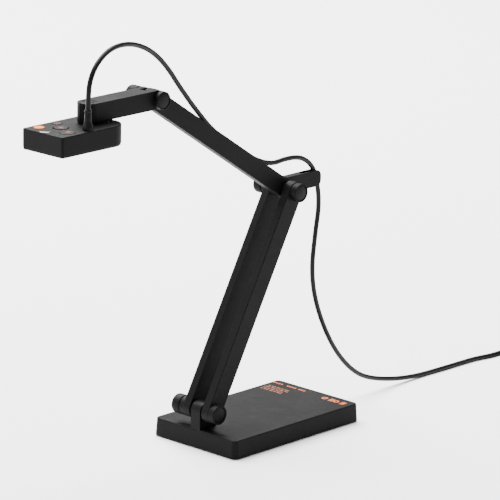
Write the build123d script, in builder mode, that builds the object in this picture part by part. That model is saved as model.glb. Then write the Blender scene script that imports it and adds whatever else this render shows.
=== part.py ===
from build123d import *
import math
import os

# A document camera on a folding stand: a weighted base with a hinge lug, a lower arm of two
# parallel bars, a single upper arm whose tail guides the cord, a short head arm with a fork,
# and a flat camera head that swivels under it. Millimetres, +Z up, +X towards the far end of
# the base, +Y along the hinge axes, origin under the middle of the base.

os.makedirs("parts", exist_ok=True)

# ---- base -------------------------------------------------------------------------------
BASE_LENGTH = 118.8  # at the rim; the walls lean in towards the top
BASE_WIDTH = 73.4
BASE_TOP = 12.6
BASE_CORNER = 4.0
BASE_DRAFT = 4.0  # degrees
BASE_LIFT = 0.6  # the shell's rim stays this far above the desk
BASE_WALL = 3.0
BASE_PLATE = 1.8
PAD_THICKNESS = 1.2
PAD_INSET = 3.0
PAD_CORNER = 1.6
SCREW_RADIUS = 1.3
SCREW_HEAD_RADIUS = 2.5
SCREW_HEAD = 0.7
SCREW_LENGTH = 6.0
WEIGHT_HEIGHT = 7.0
WEIGHT_SIDE_GAP = 3.0
BASE_POST_INSET = 9.0
BASE_POST_RADIUS = 3.2
LUG_RADIUS = 6.2
LUG_INSET = 1.2  # the lug's rear stands this far in from the base's end
LUG_WIDTH = 8.0
LUG_HEIGHT = 11.5  # hinge axis above the base's top
LUG_FOOT = 9.5  # how far the lug's foot reaches behind its axis

# ---- hinges -----------------------------------------------------------------------------
PIN_RADIUS = 2.0
BUSH_WALL = 1.2
RUNNING_FIT = 0.05
SIDE_GAP = 0.1
WASHER_RADIUS = 5.0
PIN_HEAD_RADIUS = 3.9
PIN_HEAD = 1.3
DISC_THICKNESS = 0.9
DISC_RADIUS = 5.2
RIM = 0.3  # an end disc sits this far inside its boss
CAP_NECK = 0.6
CAP_NECK_RADIUS = 4.8
CAP_WALL = 1.4

# ---- lower arm: two bars -----------------------------------------------------------------
LOWER_LENGTH = 152.3
LOWER_ANGLE = 61.3  # from +X, in the side view
BAR_DEPTH = 13.1
BAR_THICKNESS = 5.85
BAR_GAP = 10.7
BASE_BOSS_RADIUS = 6.4
ELBOW_BOSS_RADIUS = 6.1
BAR_BOSS = 4.7  # how far the near bar's bosses stand out
BAR_FAR_BOSS = 3.5
BAR_CAP = 7.3

# ---- upper arm --------------------------------------------------------------------------
UPPER_LENGTH = 144.9
UPPER_ANGLE = 147.0
UPPER_DEPTH = 12.2
UPPER_WIDTH = 6.06
TAIL_LENGTH = 32.9
TAIL_HEIGHT = 10.8
TAIL_RISE = 2.5
TAIL_CORNER = 4.0
SLOT_START = 15.2  # the tail's cord slot, from the elbow's axis
CORD_RADIUS = 1.6
CORD_GAP = 0.1
GROOVE_DEPTH = 3.8
GROOVE_FROM = 28.0  # along the arm from the elbow, at the groove's floor
GROOVE_TO = 92.0
GROOVE_RAMP = 9.0

# ---- head arm ---------------------------------------------------------------------------
HEAD_ARM_LENGTH = 54.2
HEAD_ARM_WIDTH = 14.2
HEAD_ARM_HEIGHT = 12.0
HEAD_ARM_RISE = 0.2
EAR_RADIUS = 5.8
FORK_CLEARANCE = 0.57  # between the upper arm and each side of the fork
FORK_DEPTH = 7.6
WRIST_BOSS_RADIUS = 5.75
WRIST_BOSS = 3.6
WRIST_FAR_BOSS = 3.2
WRIST_CAP = 8.2
SHELL_WALL = 2.0
SHELL_SCREW_RADIUS = 1.0
SHELL_SCREW_HEAD_RADIUS = 1.9
SHELL_SCREW_LENGTH = 9.5
SWIVEL_COVER_RADIUS = 5.0
SWIVEL_COVER = 1.2
SWIVEL_POST_RADIUS = 3.0
SWIVEL_BUSH_RADIUS = 4.6
SWIVEL_BUSH_LENGTH = 5.6
SWIVEL_FLANGE_RADIUS = 6.7
SWIVEL_FLANGE = 0.8
SWIVEL_GAP = 0.35  # between the flange and the head

# ---- camera head ------------------------------------------------------------------------
HEAD_REACH = 38.9  # front face to swivel axis
HEAD_REAR = 17.25  # rear face to swivel axis
HEAD_WIDTH = 35.3
HEAD_HEIGHT = 13.1
HEAD_CORNER = 1.5
HEAD_REAR_CORNER = 11.5
HEAD_WALL = 1.6
HEAD_CEILING = 1.8
HEAD_COVER = 1.4
COVER_INSET = 0.25
HEAD_SCREW_RADIUS = 0.8
HEAD_SCREW_HEAD_RADIUS = 1.5
BOARD_HEIGHT = 5.1  # underside of the board above the head's underside
BOARD_THICKNESS = 1.2
LENS_REACH = 19.4  # lens axis ahead of the swivel axis
WINDOW_RADIUS = 5.9
WINDOW_THICKNESS = 0.8
SMALL_BUTTON_RADIUS = 3.3
LARGE_BUTTON_RADIUS = 4.9
SMALL_BUTTON_INSET = 6.25  # button's axis from the head's far side
LIGHT_BUTTON_INSET = 7.85  # and from its near side
CAPTURE_REACH = 30.5
FOCUS_REACH = 15.6
EXPOSURE_REACH = 21.9
EXPOSURE_Y = 1.6
LIGHT_REACH = 27.4
BUTTON_TRAVEL = 0.6
BUTTON_PROUD = 0.35
BUTTON_GAP = 0.2
BUTTON_FLANGE = 0.5
SWITCH_HEIGHT = 1.6
RELIEF_RADIUS = 3.3
RELIEF_SLEEVE = 2.2
RELIEF_HEIGHT = 12.7
RELIEF_FLARE = 5.0

# ---- places that follow from the sizes -----------------------------------------------------
HINGE_X = -BASE_LENGTH / 2 + LUG_INSET + LUG_RADIUS
HINGE_Z = BASE_TOP + LUG_HEIGHT
ELBOW_X = HINGE_X + LOWER_LENGTH * math.cos(math.radians(LOWER_ANGLE))
ELBOW_Z = HINGE_Z + LOWER_LENGTH * math.sin(math.radians(LOWER_ANGLE))
WRIST_X = ELBOW_X + UPPER_LENGTH * math.cos(math.radians(UPPER_ANGLE))
WRIST_Z = ELBOW_Z + UPPER_LENGTH * math.sin(math.radians(UPPER_ANGLE))
SWIVEL_X = WRIST_X - HEAD_ARM_LENGTH
HEAD_ARM_BOTTOM = WRIST_Z + HEAD_ARM_RISE - HEAD_ARM_HEIGHT / 2
HEAD_ARM_TOP = HEAD_ARM_BOTTOM + HEAD_ARM_HEIGHT
HEAD_TOP = HEAD_ARM_BOTTOM - SWIVEL_FLANGE - SWIVEL_GAP
HEAD_BOTTOM = HEAD_TOP - HEAD_HEIGHT
HEAD_FRONT = SWIVEL_X - HEAD_REACH
CEILING = HEAD_TOP - HEAD_CEILING
BOARD_BOTTOM = HEAD_BOTTOM + BOARD_HEIGHT
BOARD_TOP = BOARD_BOTTOM + BOARD_THICKNESS
LENS_X = SWIVEL_X - LENS_REACH
BAR_INNER = BAR_GAP / 2
BAR_OUTER = BAR_INNER + BAR_THICKNESS
HEAD_ARM_SIDE = HEAD_ARM_WIDTH / 2
FORK_GAP = UPPER_WIDTH + 2 * FORK_CLEARANCE
BUSH_RADIUS = PIN_RADIUS + RUNNING_FIT + BUSH_WALL
RELIEF_X = SWIVEL_X - 13.61
RELIEF_Y = -(HEAD_WIDTH / 2 - 4.25)

# The four buttons on the head: name, distance ahead of the swivel axis, Y, radius. The light
# button moves ahead where the head is too narrow to hold both large buttons side by side.
SMALL_BUTTON_Y = HEAD_WIDTH / 2 - SMALL_BUTTON_INSET
LIGHT_Y = LIGHT_BUTTON_INSET - HEAD_WIDTH / 2
LARGE_SPACING = 2 * (LARGE_BUTTON_RADIUS + BUTTON_FLANGE) + BUTTON_GAP
LIGHT_AHEAD = math.sqrt(max(LARGE_SPACING**2 - (EXPOSURE_Y - LIGHT_Y) ** 2, 0))
BUTTONS = [
    ("capture_button", CAPTURE_REACH, SMALL_BUTTON_Y, SMALL_BUTTON_RADIUS),
    ("focus_button", FOCUS_REACH, SMALL_BUTTON_Y, SMALL_BUTTON_RADIUS),
    ("exposure_button", EXPOSURE_REACH, EXPOSURE_Y, LARGE_BUTTON_RADIUS),
    (
        "light_button",
        max(LIGHT_REACH, EXPOSURE_REACH + LIGHT_AHEAD),
        LIGHT_Y,
        LARGE_BUTTON_RADIUS,
    ),
]

# The cord's route. It leaves the strain relief, loops over the head arm, lies in the upper
# arm's groove, drops through the tail's slot and runs along the desk to its coil.
LOOP_ROUTE = [
    (-168.2, -13.4, 238.6),
    (-168.2, -13.4, 249.6),
    (-166.6, -13.2, 260.2),
    (-159.6, -12.2, 269.7),
    (-146.6, -10.2, 276.2),
    (-130.4, -7.6, 276.5),
    (-114.4, -5.1, 272.3),
    (-100.2, -3.2, 264.5),
    (-88.0, -1.8, 253.6),
    (-76.5, -0.8, 239.8),
    (-61.5, -0.1, 223.2),
    (-43.5, 0.0, 204.7),
    (-27.75, 0.0, 194.5),
]
ARM_ROUTE = [
    (-27.75, 0.0, 194.5),
    (-12.0, 0.0, 184.3),
    (8.0, 0.0, 176.0),
    (23.0, 0.0, 177.6),
    (36.5, 0.0, 176.4),
    (46.6, 0.0, 170.4),
    (52.4, 0.0, 160.8),
    (54.2, 0.0, 151.4),
]
DROP_ROUTE = [
    (54.2, 0.0, 151.4),
    (56.0, 0.0, 142.0),
    (52.4, 0.0, 122.0),
    (49.4, 0.0, 96.0),
    (55.4, 0.0, 71.0),
    (71.0, 0.0, 41.9),
    (90.0, 0.0, 21.2),
    (110.0, 0.0, 9.9),
    (150.0, 0.2, 1.6),
    (171.0, -0.5, 1.6),
]
FLOOR_ROUTE = [
    (171.0, -0.5, 1.6),
    (192.0, -1.2, 1.6),
    (218.0, -1.2, 1.6),
    (233.0, -4.6, 1.6),
    (244.0, -4.6, 1.6),
]

# The spare cord, wound into a neat coil on the desk, with the plug beside it.
COIL_X = 258.5
COIL_Y = -30.0
COIL_TURNS_ACROSS = 5
COIL_LAYERS = 2
COIL_MID_RADIUS = 19.0
COIL_OUTER = COIL_MID_RADIUS + COIL_TURNS_ACROSS * CORD_RADIUS
COIL_INNER = COIL_MID_RADIUS - COIL_TURNS_ACROSS * CORD_RADIUS
COIL_HEIGHT = 2 * CORD_RADIUS * COIL_LAYERS
TIE_ANGLE = -150.0
TIE_WIDTH = 9.0
TIE_THICKNESS = 0.8
END_ROUTE = [
    (283.9, -43.0, 1.6),
    (283.9, -54.0, 1.6),
    (278.4, -63.5, 2.7),
    (268.9, -69.0, 4.0),
    (257.9, -69.0, 4.0),
]
PLUG_RELIEF = 8.0
PLUG_LENGTH = 22.0
PLUG_WIDTH = 15.6
PLUG_HEIGHT = 8.0
PLUG_RIBS = 4
PLUG_SHELL = (12.0, 12.0, 4.5)


def side_plane(y):
    """The side view's plane at y; its normal points to -Y."""
    return Plane.XZ.offset(-y)


def along_upper_arm(distance, rise):
    """A point in the side view: distance from the elbow along the upper arm, rise above its axis."""
    angle = math.radians(UPPER_ANGLE)
    return (
        ELBOW_X + distance * math.cos(angle) + rise * math.sin(angle),
        ELBOW_Z + distance * math.sin(angle) - rise * math.cos(angle),
    )


def capsule(x, z, length, angle, depth):
    """A round-ended bar outline that starts at (x, z), for the sketch that is open."""
    half = length / 2
    middle = (x + half * math.cos(math.radians(angle)), z + half * math.sin(math.radians(angle)))
    with Locations(middle):
        SlotCenterToCenter(length, depth, rotation=angle)


def corner_radii(points):
    """Each corner's arc: 0.45 of its shorter run over the tangent of half its turn."""
    vectors = [Vector(*point) for point in points]
    radii = []
    for before, corner, after in zip(vectors, vectors[1:], vectors[2:]):
        turn = (corner - before).get_angle(after - corner)
        shorter = min((corner - before).length, (after - corner).length)
        radii.append(0.45 * shorter / math.tan(math.radians(turn / 2)))
    return radii


def cord_tube(label, points):
    """A stretch of cord along its route, as straight runs joined by tangent arcs."""
    radii = corner_radii(points)
    with BuildPart() as tube:
        with BuildLine() as route:
            FilletPolyline(*points, radius=radii)
        with BuildSketch(Plane(origin=points[0], z_dir=route.line % 0)):
            Circle(CORD_RADIUS)
        sweep()
    tube.part.label = label
    export_step(tube.part, f"parts/{label}.step")
    length = sum(edge.length for edge in route.edges())
    ratio = tube.part.volume / (math.pi * CORD_RADIUS**2 * length)
    print(label, "length", round(length, 1), "volume ratio", round(ratio, 4))
    print("  radii", [round(radius, 1) for radius in radii])
    return tube.part


# ============================== base ======================================================
base_posts = [
    (side_x * (BASE_LENGTH / 2 - BASE_POST_INSET), side_y * (BASE_WIDTH / 2 - BASE_POST_INSET))
    for side_x in (-1, 1)
    for side_y in (-1, 1)
]
base_inside = (BASE_LENGTH - 2 * BASE_WALL, BASE_WIDTH - 2 * BASE_WALL)
plate_top = BASE_LIFT + BASE_PLATE
weight_top = plate_top + WEIGHT_HEIGHT
base_ceiling = BASE_TOP - BASE_WALL

with BuildPart() as base_shell:
    with BuildSketch(Plane.XY.offset(BASE_LIFT)):
        RectangleRounded(BASE_LENGTH, BASE_WIDTH, BASE_CORNER)
    extrude(amount=BASE_TOP - BASE_LIFT, taper=BASE_DRAFT)
    fillet(base_shell.faces().sort_by(Axis.Z)[-1].edges(), 0.9)
    fillet(base_shell.faces().sort_by(Axis.Z)[0].edges(), 0.4)
    with BuildSketch(side_plane(LUG_WIDTH / 2)):
        Polygon(
            (HINGE_X - LUG_RADIUS, BASE_TOP - 2.0),
            (HINGE_X + LUG_FOOT, BASE_TOP - 2.0),
            (HINGE_X + LUG_RADIUS, HINGE_Z),
            (HINGE_X - LUG_RADIUS, HINGE_Z),
            align=None,
        )
        with Locations((HINGE_X, HINGE_Z)):
            Circle(LUG_RADIUS)
    extrude(amount=LUG_WIDTH)
    with BuildSketch(Plane.XY.offset(BASE_LIFT)):
        RectangleRounded(*base_inside, BASE_CORNER / 2)
    extrude(amount=base_ceiling - BASE_LIFT, mode=Mode.SUBTRACT)
    with BuildSketch(Plane.XY.offset(plate_top)):
        with Locations(*base_posts):
            Circle(BASE_POST_RADIUS)
    extrude(amount=base_ceiling - plate_top)
    with BuildSketch(Plane.XY.offset(weight_top)):
        with GridLocations(BASE_LENGTH / 2, BASE_WIDTH / 2, 2, 2):
            Rectangle(10, 2)
    extrude(amount=base_ceiling - weight_top)
    with BuildSketch(Plane.XY.offset(plate_top)):
        with Locations(*base_posts):
            Circle(SCREW_RADIUS)
    extrude(amount=SCREW_LENGTH + PAD_THICKNESS + SCREW_HEAD - plate_top, mode=Mode.SUBTRACT)
    with BuildSketch(side_plane(LUG_WIDTH / 2)):
        with Locations((HINGE_X, HINGE_Z)):
            Circle(BUSH_RADIUS)
    extrude(amount=LUG_WIDTH, mode=Mode.SUBTRACT)
base_shell.part.label = "base_shell"
export_step(base_shell.part, "parts/base_shell.step")

with BuildPart() as base_plate:
    with BuildSketch(Plane.XY.offset(BASE_LIFT)):
        RectangleRounded(base_inside[0] - 0.3, base_inside[1] - 0.3, BASE_CORNER / 2)
    extrude(amount=BASE_PLATE)
    with BuildSketch(Plane.XY.offset(BASE_LIFT)):
        RectangleRounded(base_inside[0] - PAD_INSET, base_inside[1] - PAD_INSET, PAD_CORNER)
    extrude(amount=PAD_THICKNESS - BASE_LIFT, mode=Mode.SUBTRACT)
    with BuildSketch(Plane.XY.offset(PAD_THICKNESS)):
        with Locations(*base_posts):
            Circle(SCREW_HEAD_RADIUS)
    extrude(amount=SCREW_HEAD, mode=Mode.SUBTRACT)
    with BuildSketch(Plane.XY.offset(PAD_THICKNESS)):
        with Locations(*base_posts):
            Circle(SCREW_RADIUS)
    extrude(amount=BASE_PLATE, mode=Mode.SUBTRACT)
base_plate.part.label = "base_plate"
export_step(base_plate.part, "parts/base_plate.step")

with BuildPart() as base_pad:
    with BuildSketch():
        pad_sides = (side - PAD_INSET - 0.4 for side in base_inside)
        RectangleRounded(*pad_sides, PAD_CORNER - 0.2)
    extrude(amount=PAD_THICKNESS)
base_pad.part.label = "base_pad"
export_step(base_pad.part, "parts/base_pad.step")

with BuildPart() as base_screws:
    with BuildSketch(Plane.XY.offset(PAD_THICKNESS)):
        with Locations(*base_posts):
            Circle(SCREW_HEAD_RADIUS)
    extrude(amount=SCREW_HEAD)
    with BuildSketch(Plane.XY.offset(PAD_THICKNESS + SCREW_HEAD)):
        with Locations(*base_posts):
            Circle(SCREW_RADIUS)
    extrude(amount=SCREW_LENGTH)
base_screws.part.label = "base_screws"
export_step(base_screws.part, "parts/base_screws.step")

with BuildPart() as base_weight:
    with BuildSketch(Plane.XY.offset(plate_top)):
        RectangleRounded(
            BASE_LENGTH - 2 * (BASE_POST_INSET + BASE_POST_RADIUS + WEIGHT_SIDE_GAP / 2),
            base_inside[1] - 2 * WEIGHT_SIDE_GAP,
            2.0,
        )
    extrude(amount=WEIGHT_HEIGHT)
    chamfer(base_weight.faces().sort_by(Axis.Z)[-1].edges(), 0.6)
base_weight.part.label = "base_weight"
export_step(base_weight.part, "parts/base_weight.step")


# ============================== hinges ====================================================
def hinge_hardware(prefix, x, z, inner, faces, bosses, cap, radius):
    """The loose pieces of one hinge, along Y through (x, z).

    inner is half the width of the member in the middle, which turns on the bush; faces are the
    two faces of each fork side, which hold the pin; bosses are the heights of the near and the
    far boss on those sides.
    """
    fork_inner, fork_outer = faces
    near_end = fork_outer + bosses[0]
    cap_start = fork_outer + bosses[1]
    head_face = near_end - RIM - DISC_THICKNESS
    shaft_start = head_face - PIN_HEAD
    shaft_end = cap_start + cap - CAP_WALL

    with BuildPart() as bush:
        with BuildSketch(side_plane(inner)):
            with Locations((x, z)):
                Circle(BUSH_RADIUS)
                Circle(PIN_RADIUS + RUNNING_FIT, mode=Mode.SUBTRACT)
        extrude(amount=2 * inner)
    bush.part.label = prefix + "_bush"
    export_step(bush.part, f"parts/{prefix}_bush.step")

    with BuildPart() as pin:
        with BuildSketch(side_plane(shaft_end)):
            with Locations((x, z)):
                Circle(PIN_RADIUS)
        extrude(amount=shaft_end + shaft_start)
        with BuildSketch(side_plane(-shaft_start)):
            with Locations((x, z)):
                Circle(PIN_HEAD_RADIUS)
        extrude(amount=PIN_HEAD)
    pin.part.label = prefix + "_pin"
    export_step(pin.part, f"parts/{prefix}_pin.step")

    with BuildPart() as disc:
        with BuildSketch(side_plane(-head_face)):
            with Locations((x, z)):
                Circle(DISC_RADIUS)
        extrude(amount=DISC_THICKNESS)
        chamfer(disc.faces().sort_by(Axis.Y)[0].edges(), 0.2)
    disc.part.label = prefix + "_end_disc"
    export_step(disc.part, f"parts/{prefix}_end_disc.step")

    with BuildPart() as washers:
        for low in (-fork_inner, inner + SIDE_GAP):
            thickness = fork_inner - inner - SIDE_GAP
            with BuildSketch(side_plane(low + thickness)):
                with Locations((x, z)):
                    Circle(WASHER_RADIUS)
                    Circle(PIN_RADIUS, mode=Mode.SUBTRACT)
            extrude(amount=thickness)
    washers.part.label = prefix + "_washers"
    export_step(washers.part, f"parts/{prefix}_washers.step")

    with BuildPart() as end_cap:
        with BuildSketch(side_plane(cap_start + cap)):
            with Locations((x, z)):
                Circle(radius)
        extrude(amount=cap - CAP_NECK)
        fillet(end_cap.faces().sort_by(Axis.Y)[-1].edges(), 0.8)
        chamfer(end_cap.faces().sort_by(Axis.Y)[0].edges(), 0.3)
        with BuildSketch(side_plane(cap_start + CAP_NECK)):
            with Locations((x, z)):
                Circle(CAP_NECK_RADIUS)
        extrude(amount=CAP_NECK)
        with BuildSketch(side_plane(shaft_end)):
            with Locations((x, z)):
                Circle(PIN_RADIUS)
        extrude(amount=shaft_end - cap_start, mode=Mode.SUBTRACT)
    end_cap.part.label = prefix + "_cap"
    export_step(end_cap.part, f"parts/{prefix}_cap.step")


bar_ends_fit = ((BAR_INNER, BAR_OUTER), (BAR_BOSS, BAR_FAR_BOSS), BAR_CAP)
fork_fit = ((FORK_GAP / 2, HEAD_ARM_SIDE), (WRIST_BOSS, WRIST_FAR_BOSS), WRIST_CAP)
hinge_hardware("base_hinge", HINGE_X, HINGE_Z, LUG_WIDTH / 2, *bar_ends_fit, BASE_BOSS_RADIUS)
hinge_hardware("elbow", ELBOW_X, ELBOW_Z, UPPER_WIDTH / 2, *bar_ends_fit, ELBOW_BOSS_RADIUS)
hinge_hardware("wrist", WRIST_X, WRIST_Z, UPPER_WIDTH / 2, *fork_fit, WRIST_BOSS_RADIUS)

# ============================== lower arm ================================================
bar_ends = ((HINGE_X, HINGE_Z, BASE_BOSS_RADIUS), (ELBOW_X, ELBOW_Z, ELBOW_BOSS_RADIUS))
bosses_root = BAR_INNER + BAR_THICKNESS / 2
bosses_end = BAR_OUTER + BAR_BOSS
far_bosses_end = BAR_OUTER + BAR_FAR_BOSS
counterbore = RIM + DISC_THICKNESS + PIN_HEAD

with BuildPart() as near_bar:
    with BuildSketch(side_plane(-BAR_INNER)):
        capsule(HINGE_X, HINGE_Z, LOWER_LENGTH, LOWER_ANGLE, BAR_DEPTH)
    extrude(amount=BAR_THICKNESS)
    fillet(near_bar.faces().sort_by(Axis.Y)[0].edges(), 0.5)
    fillet(near_bar.faces().sort_by(Axis.Y)[-1].edges(), 0.2)
    for end_x, end_z, radius in bar_ends:
        with BuildSketch(side_plane(-bosses_root)):
            with Locations((end_x, end_z)):
                Circle(radius)
        extrude(amount=BAR_OUTER - bosses_root + BAR_BOSS)
    fillet(near_bar.faces().filter_by(Axis.Y).group_by(Axis.Y)[0].edges(), 0.5)
    for end_x, end_z, radius in bar_ends:
        with BuildSketch(side_plane(-bosses_end + counterbore)):
            with Locations((end_x, end_z)):
                Circle(DISC_RADIUS)
        extrude(amount=counterbore, mode=Mode.SUBTRACT)
        with BuildSketch(side_plane(0)):
            with Locations((end_x, end_z)):
                Circle(PIN_RADIUS)
        extrude(amount=bosses_end, mode=Mode.SUBTRACT)
near_bar.part.label = "lower_arm_near_bar"
export_step(near_bar.part, "parts/lower_arm_near_bar.step")

with BuildPart() as far_bar:
    with BuildSketch(side_plane(BAR_OUTER)):
        capsule(HINGE_X, HINGE_Z, LOWER_LENGTH, LOWER_ANGLE, BAR_DEPTH)
    extrude(amount=BAR_THICKNESS)
    fillet(far_bar.faces().sort_by(Axis.Y)[-1].edges(), 0.5)
    fillet(far_bar.faces().sort_by(Axis.Y)[0].edges(), 0.2)
    for end_x, end_z, radius in bar_ends:
        with BuildSketch(side_plane(far_bosses_end)):
            with Locations((end_x, end_z)):
                Circle(radius)
        extrude(amount=far_bosses_end - bosses_root)
    chamfer(far_bar.faces().filter_by(Axis.Y).group_by(Axis.Y)[-1].edges(), 0.3)
    with BuildSketch(side_plane(far_bosses_end)):
        with Locations((HINGE_X, HINGE_Z), (ELBOW_X, ELBOW_Z)):
            Circle(PIN_RADIUS)
    extrude(amount=far_bosses_end - BAR_INNER, mode=Mode.SUBTRACT)
far_bar.part.label = "lower_arm_far_bar"
export_step(far_bar.part, "parts/lower_arm_far_bar.step")

# ============================== upper arm ================================================
groove_floor = UPPER_DEPTH / 2 - GROOVE_DEPTH
groove_mouth = UPPER_DEPTH / 2 + 2.0
groove_outline = [
    along_upper_arm(GROOVE_FROM - GROOVE_RAMP, groove_mouth),
    along_upper_arm(GROOVE_FROM, groove_floor),
    along_upper_arm(GROOVE_TO, groove_floor),
    along_upper_arm(GROOVE_TO + GROOVE_RAMP, groove_mouth),
]
tail_middle = (ELBOW_X + TAIL_LENGTH / 2, ELBOW_Z + TAIL_RISE)

with BuildPart() as upper_arm:
    with BuildSketch(side_plane(UPPER_WIDTH / 2)):
        capsule(ELBOW_X, ELBOW_Z, UPPER_LENGTH, UPPER_ANGLE, UPPER_DEPTH)
        with Locations(tail_middle):
            Rectangle(TAIL_LENGTH, TAIL_HEIGHT)
    extrude(amount=UPPER_WIDTH)
    tail_end = upper_arm.edges().filter_by(Axis.Y).group_by(Axis.X)[-1]
    fillet(tail_end, TAIL_CORNER)
    chamfer(upper_arm.faces().sort_by(Axis.Y)[0].edges(), 0.35)
    chamfer(upper_arm.faces().sort_by(Axis.Y)[-1].edges(), 0.35)
    with BuildSketch(side_plane(CORD_RADIUS + CORD_GAP)):
        Polygon(*groove_outline, align=None)
        with Locations((ELBOW_X + SLOT_START + TAIL_LENGTH / 2, ELBOW_Z + TAIL_RISE)):
            Rectangle(TAIL_LENGTH, 2 * TAIL_HEIGHT)
    extrude(amount=2 * (CORD_RADIUS + CORD_GAP), mode=Mode.SUBTRACT)
    with BuildSketch(side_plane(UPPER_WIDTH / 2)):
        with Locations((ELBOW_X, ELBOW_Z), (WRIST_X, WRIST_Z)):
            Circle(BUSH_RADIUS)
    extrude(amount=UPPER_WIDTH, mode=Mode.SUBTRACT)
upper_arm.part.label = "upper_arm"
export_step(upper_arm.part, "parts/upper_arm.step")

# ============================== head arm =================================================
fork_root = WRIST_X - FORK_DEPTH
pocket_floor = HEAD_ARM_BOTTOM + SHELL_WALL
pocket_height = HEAD_ARM_HEIGHT - 2 * SHELL_WALL
web = 4.0  # solid webs that the shells' screws pass through
front_web_x = (SWIVEL_X + SWIVEL_COVER_RADIUS + fork_root) / 2
rear_web_x = fork_root - web / 2
shell_screw_z = HEAD_ARM_BOTTOM + HEAD_ARM_HEIGHT / 2
shell_screw_head = 1.2
cavity_radius = HEAD_ARM_SIDE - SHELL_WALL
far_boss_end = HEAD_ARM_SIDE + WRIST_FAR_BOSS


def head_arm_shell(label, near):
    """One half of the head arm, split down its middle, with its boss for the wrist's pin."""
    with BuildPart() as shell:
        with BuildSketch(Plane.XY.offset(HEAD_ARM_BOTTOM)):
            with Locations(((SWIVEL_X + WRIST_X) / 2, 0)):
                Rectangle(HEAD_ARM_LENGTH, HEAD_ARM_WIDTH)
            with Locations((SWIVEL_X, 0)):
                Circle(HEAD_ARM_SIDE)
        extrude(amount=HEAD_ARM_HEIGHT)
        with BuildSketch(side_plane(HEAD_ARM_SIDE)):
            with Locations((WRIST_X, WRIST_Z)):
                Circle(EAR_RADIUS)
            with Locations((WRIST_X - EAR_RADIUS, HEAD_ARM_BOTTOM + HEAD_ARM_HEIGHT / 2)):
                Rectangle(2 * EAR_RADIUS, HEAD_ARM_HEIGHT)
        extrude(amount=HEAD_ARM_WIDTH)
        with BuildSketch(side_plane(HEAD_ARM_SIDE)):
            with Locations((WRIST_X + EAR_RADIUS, WRIST_Z)):
                Rectangle(2 * EAR_RADIUS, 3 * EAR_RADIUS)
            with Locations((WRIST_X, WRIST_Z)):
                Circle(EAR_RADIUS, mode=Mode.SUBTRACT)
        extrude(amount=HEAD_ARM_WIDTH, mode=Mode.SUBTRACT)
        fillet(shell.faces().sort_by(Axis.Z)[0].edges().filter_by(GeomType.LINE), 0.4)
        with BuildSketch(side_plane(FORK_GAP / 2)):
            with Locations((fork_root + HEAD_ARM_LENGTH / 2, WRIST_Z)):
                Rectangle(HEAD_ARM_LENGTH, 3 * HEAD_ARM_HEIGHT)
        extrude(amount=FORK_GAP, mode=Mode.SUBTRACT)
        pocket_ends = (
            (SWIVEL_X + cavity_radius + SHELL_WALL, front_web_x - web / 2),
            (front_web_x + web / 2, rear_web_x - web / 2),
        )
        for start, end in pocket_ends:
            with BuildSketch(Plane.XY.offset(pocket_floor)):
                with Locations(((start + end) / 2, 0)):
                    Rectangle(end - start, HEAD_ARM_WIDTH - 2 * SHELL_WALL)
            extrude(amount=pocket_height, mode=Mode.SUBTRACT)
        cavity = HEAD_ARM_HEIGHT - SWIVEL_BUSH_LENGTH - SWIVEL_COVER
        swivel_bores = (
            (HEAD_ARM_BOTTOM, SWIVEL_BUSH_RADIUS, SWIVEL_BUSH_LENGTH),
            (HEAD_ARM_BOTTOM + SWIVEL_BUSH_LENGTH, cavity_radius, cavity),
            (HEAD_ARM_TOP - SWIVEL_COVER, SWIVEL_COVER_RADIUS, SWIVEL_COVER),
        )
        for start, radius, depth in swivel_bores:
            with BuildSketch(Plane.XY.offset(start)):
                with Locations((SWIVEL_X, 0)):
                    Circle(radius)
            extrude(amount=depth, mode=Mode.SUBTRACT)
        for screw_x in (front_web_x, rear_web_x):
            with BuildSketch(side_plane(HEAD_ARM_SIDE)):
                with Locations((screw_x, shell_screw_z)):
                    Circle(SHELL_SCREW_HEAD_RADIUS)
            extrude(amount=shell_screw_head, mode=Mode.SUBTRACT)
            with BuildSketch(side_plane(HEAD_ARM_SIDE)):
                with Locations((screw_x, shell_screw_z)):
                    Circle(SHELL_SCREW_RADIUS)
            extrude(amount=SHELL_SCREW_LENGTH + shell_screw_head, mode=Mode.SUBTRACT)
        if near:
            with BuildSketch(side_plane(-HEAD_ARM_SIDE)):
                with Locations((WRIST_X, WRIST_Z)):
                    Circle(WRIST_BOSS_RADIUS)
            extrude(amount=WRIST_BOSS)
            fillet(shell.faces().sort_by(Axis.Y)[0].edges(), 0.4)
            with BuildSketch(side_plane(-HEAD_ARM_SIDE - WRIST_BOSS + counterbore)):
                with Locations((WRIST_X, WRIST_Z)):
                    Circle(DISC_RADIUS)
            extrude(amount=counterbore, mode=Mode.SUBTRACT)
        else:
            with BuildSketch(side_plane(far_boss_end)):
                with Locations((WRIST_X, WRIST_Z)):
                    Circle(WRIST_BOSS_RADIUS)
            extrude(amount=WRIST_FAR_BOSS)
            chamfer(shell.faces().sort_by(Axis.Y)[-1].edges(), 0.3)
        with BuildSketch(side_plane(far_boss_end)):
            with Locations((WRIST_X, WRIST_Z)):
                Circle(PIN_RADIUS)
        extrude(amount=far_boss_end + HEAD_ARM_SIDE + WRIST_BOSS, mode=Mode.SUBTRACT)
        with BuildSketch(Plane.XY.offset(HEAD_ARM_BOTTOM)):
            with Locations((SWIVEL_X - HEAD_ARM_SIDE, 0)):
                Rectangle(0.7, 0.5)
        extrude(amount=HEAD_ARM_HEIGHT, mode=Mode.SUBTRACT)
        split(bisect_by=Plane.XZ, keep=Keep.TOP if near else Keep.BOTTOM)
    shell.part.label = label
    export_step(shell.part, f"parts/{label}.step")


head_arm_shell("head_arm_near_shell", near=True)
head_arm_shell("head_arm_far_shell", near=False)

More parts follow.
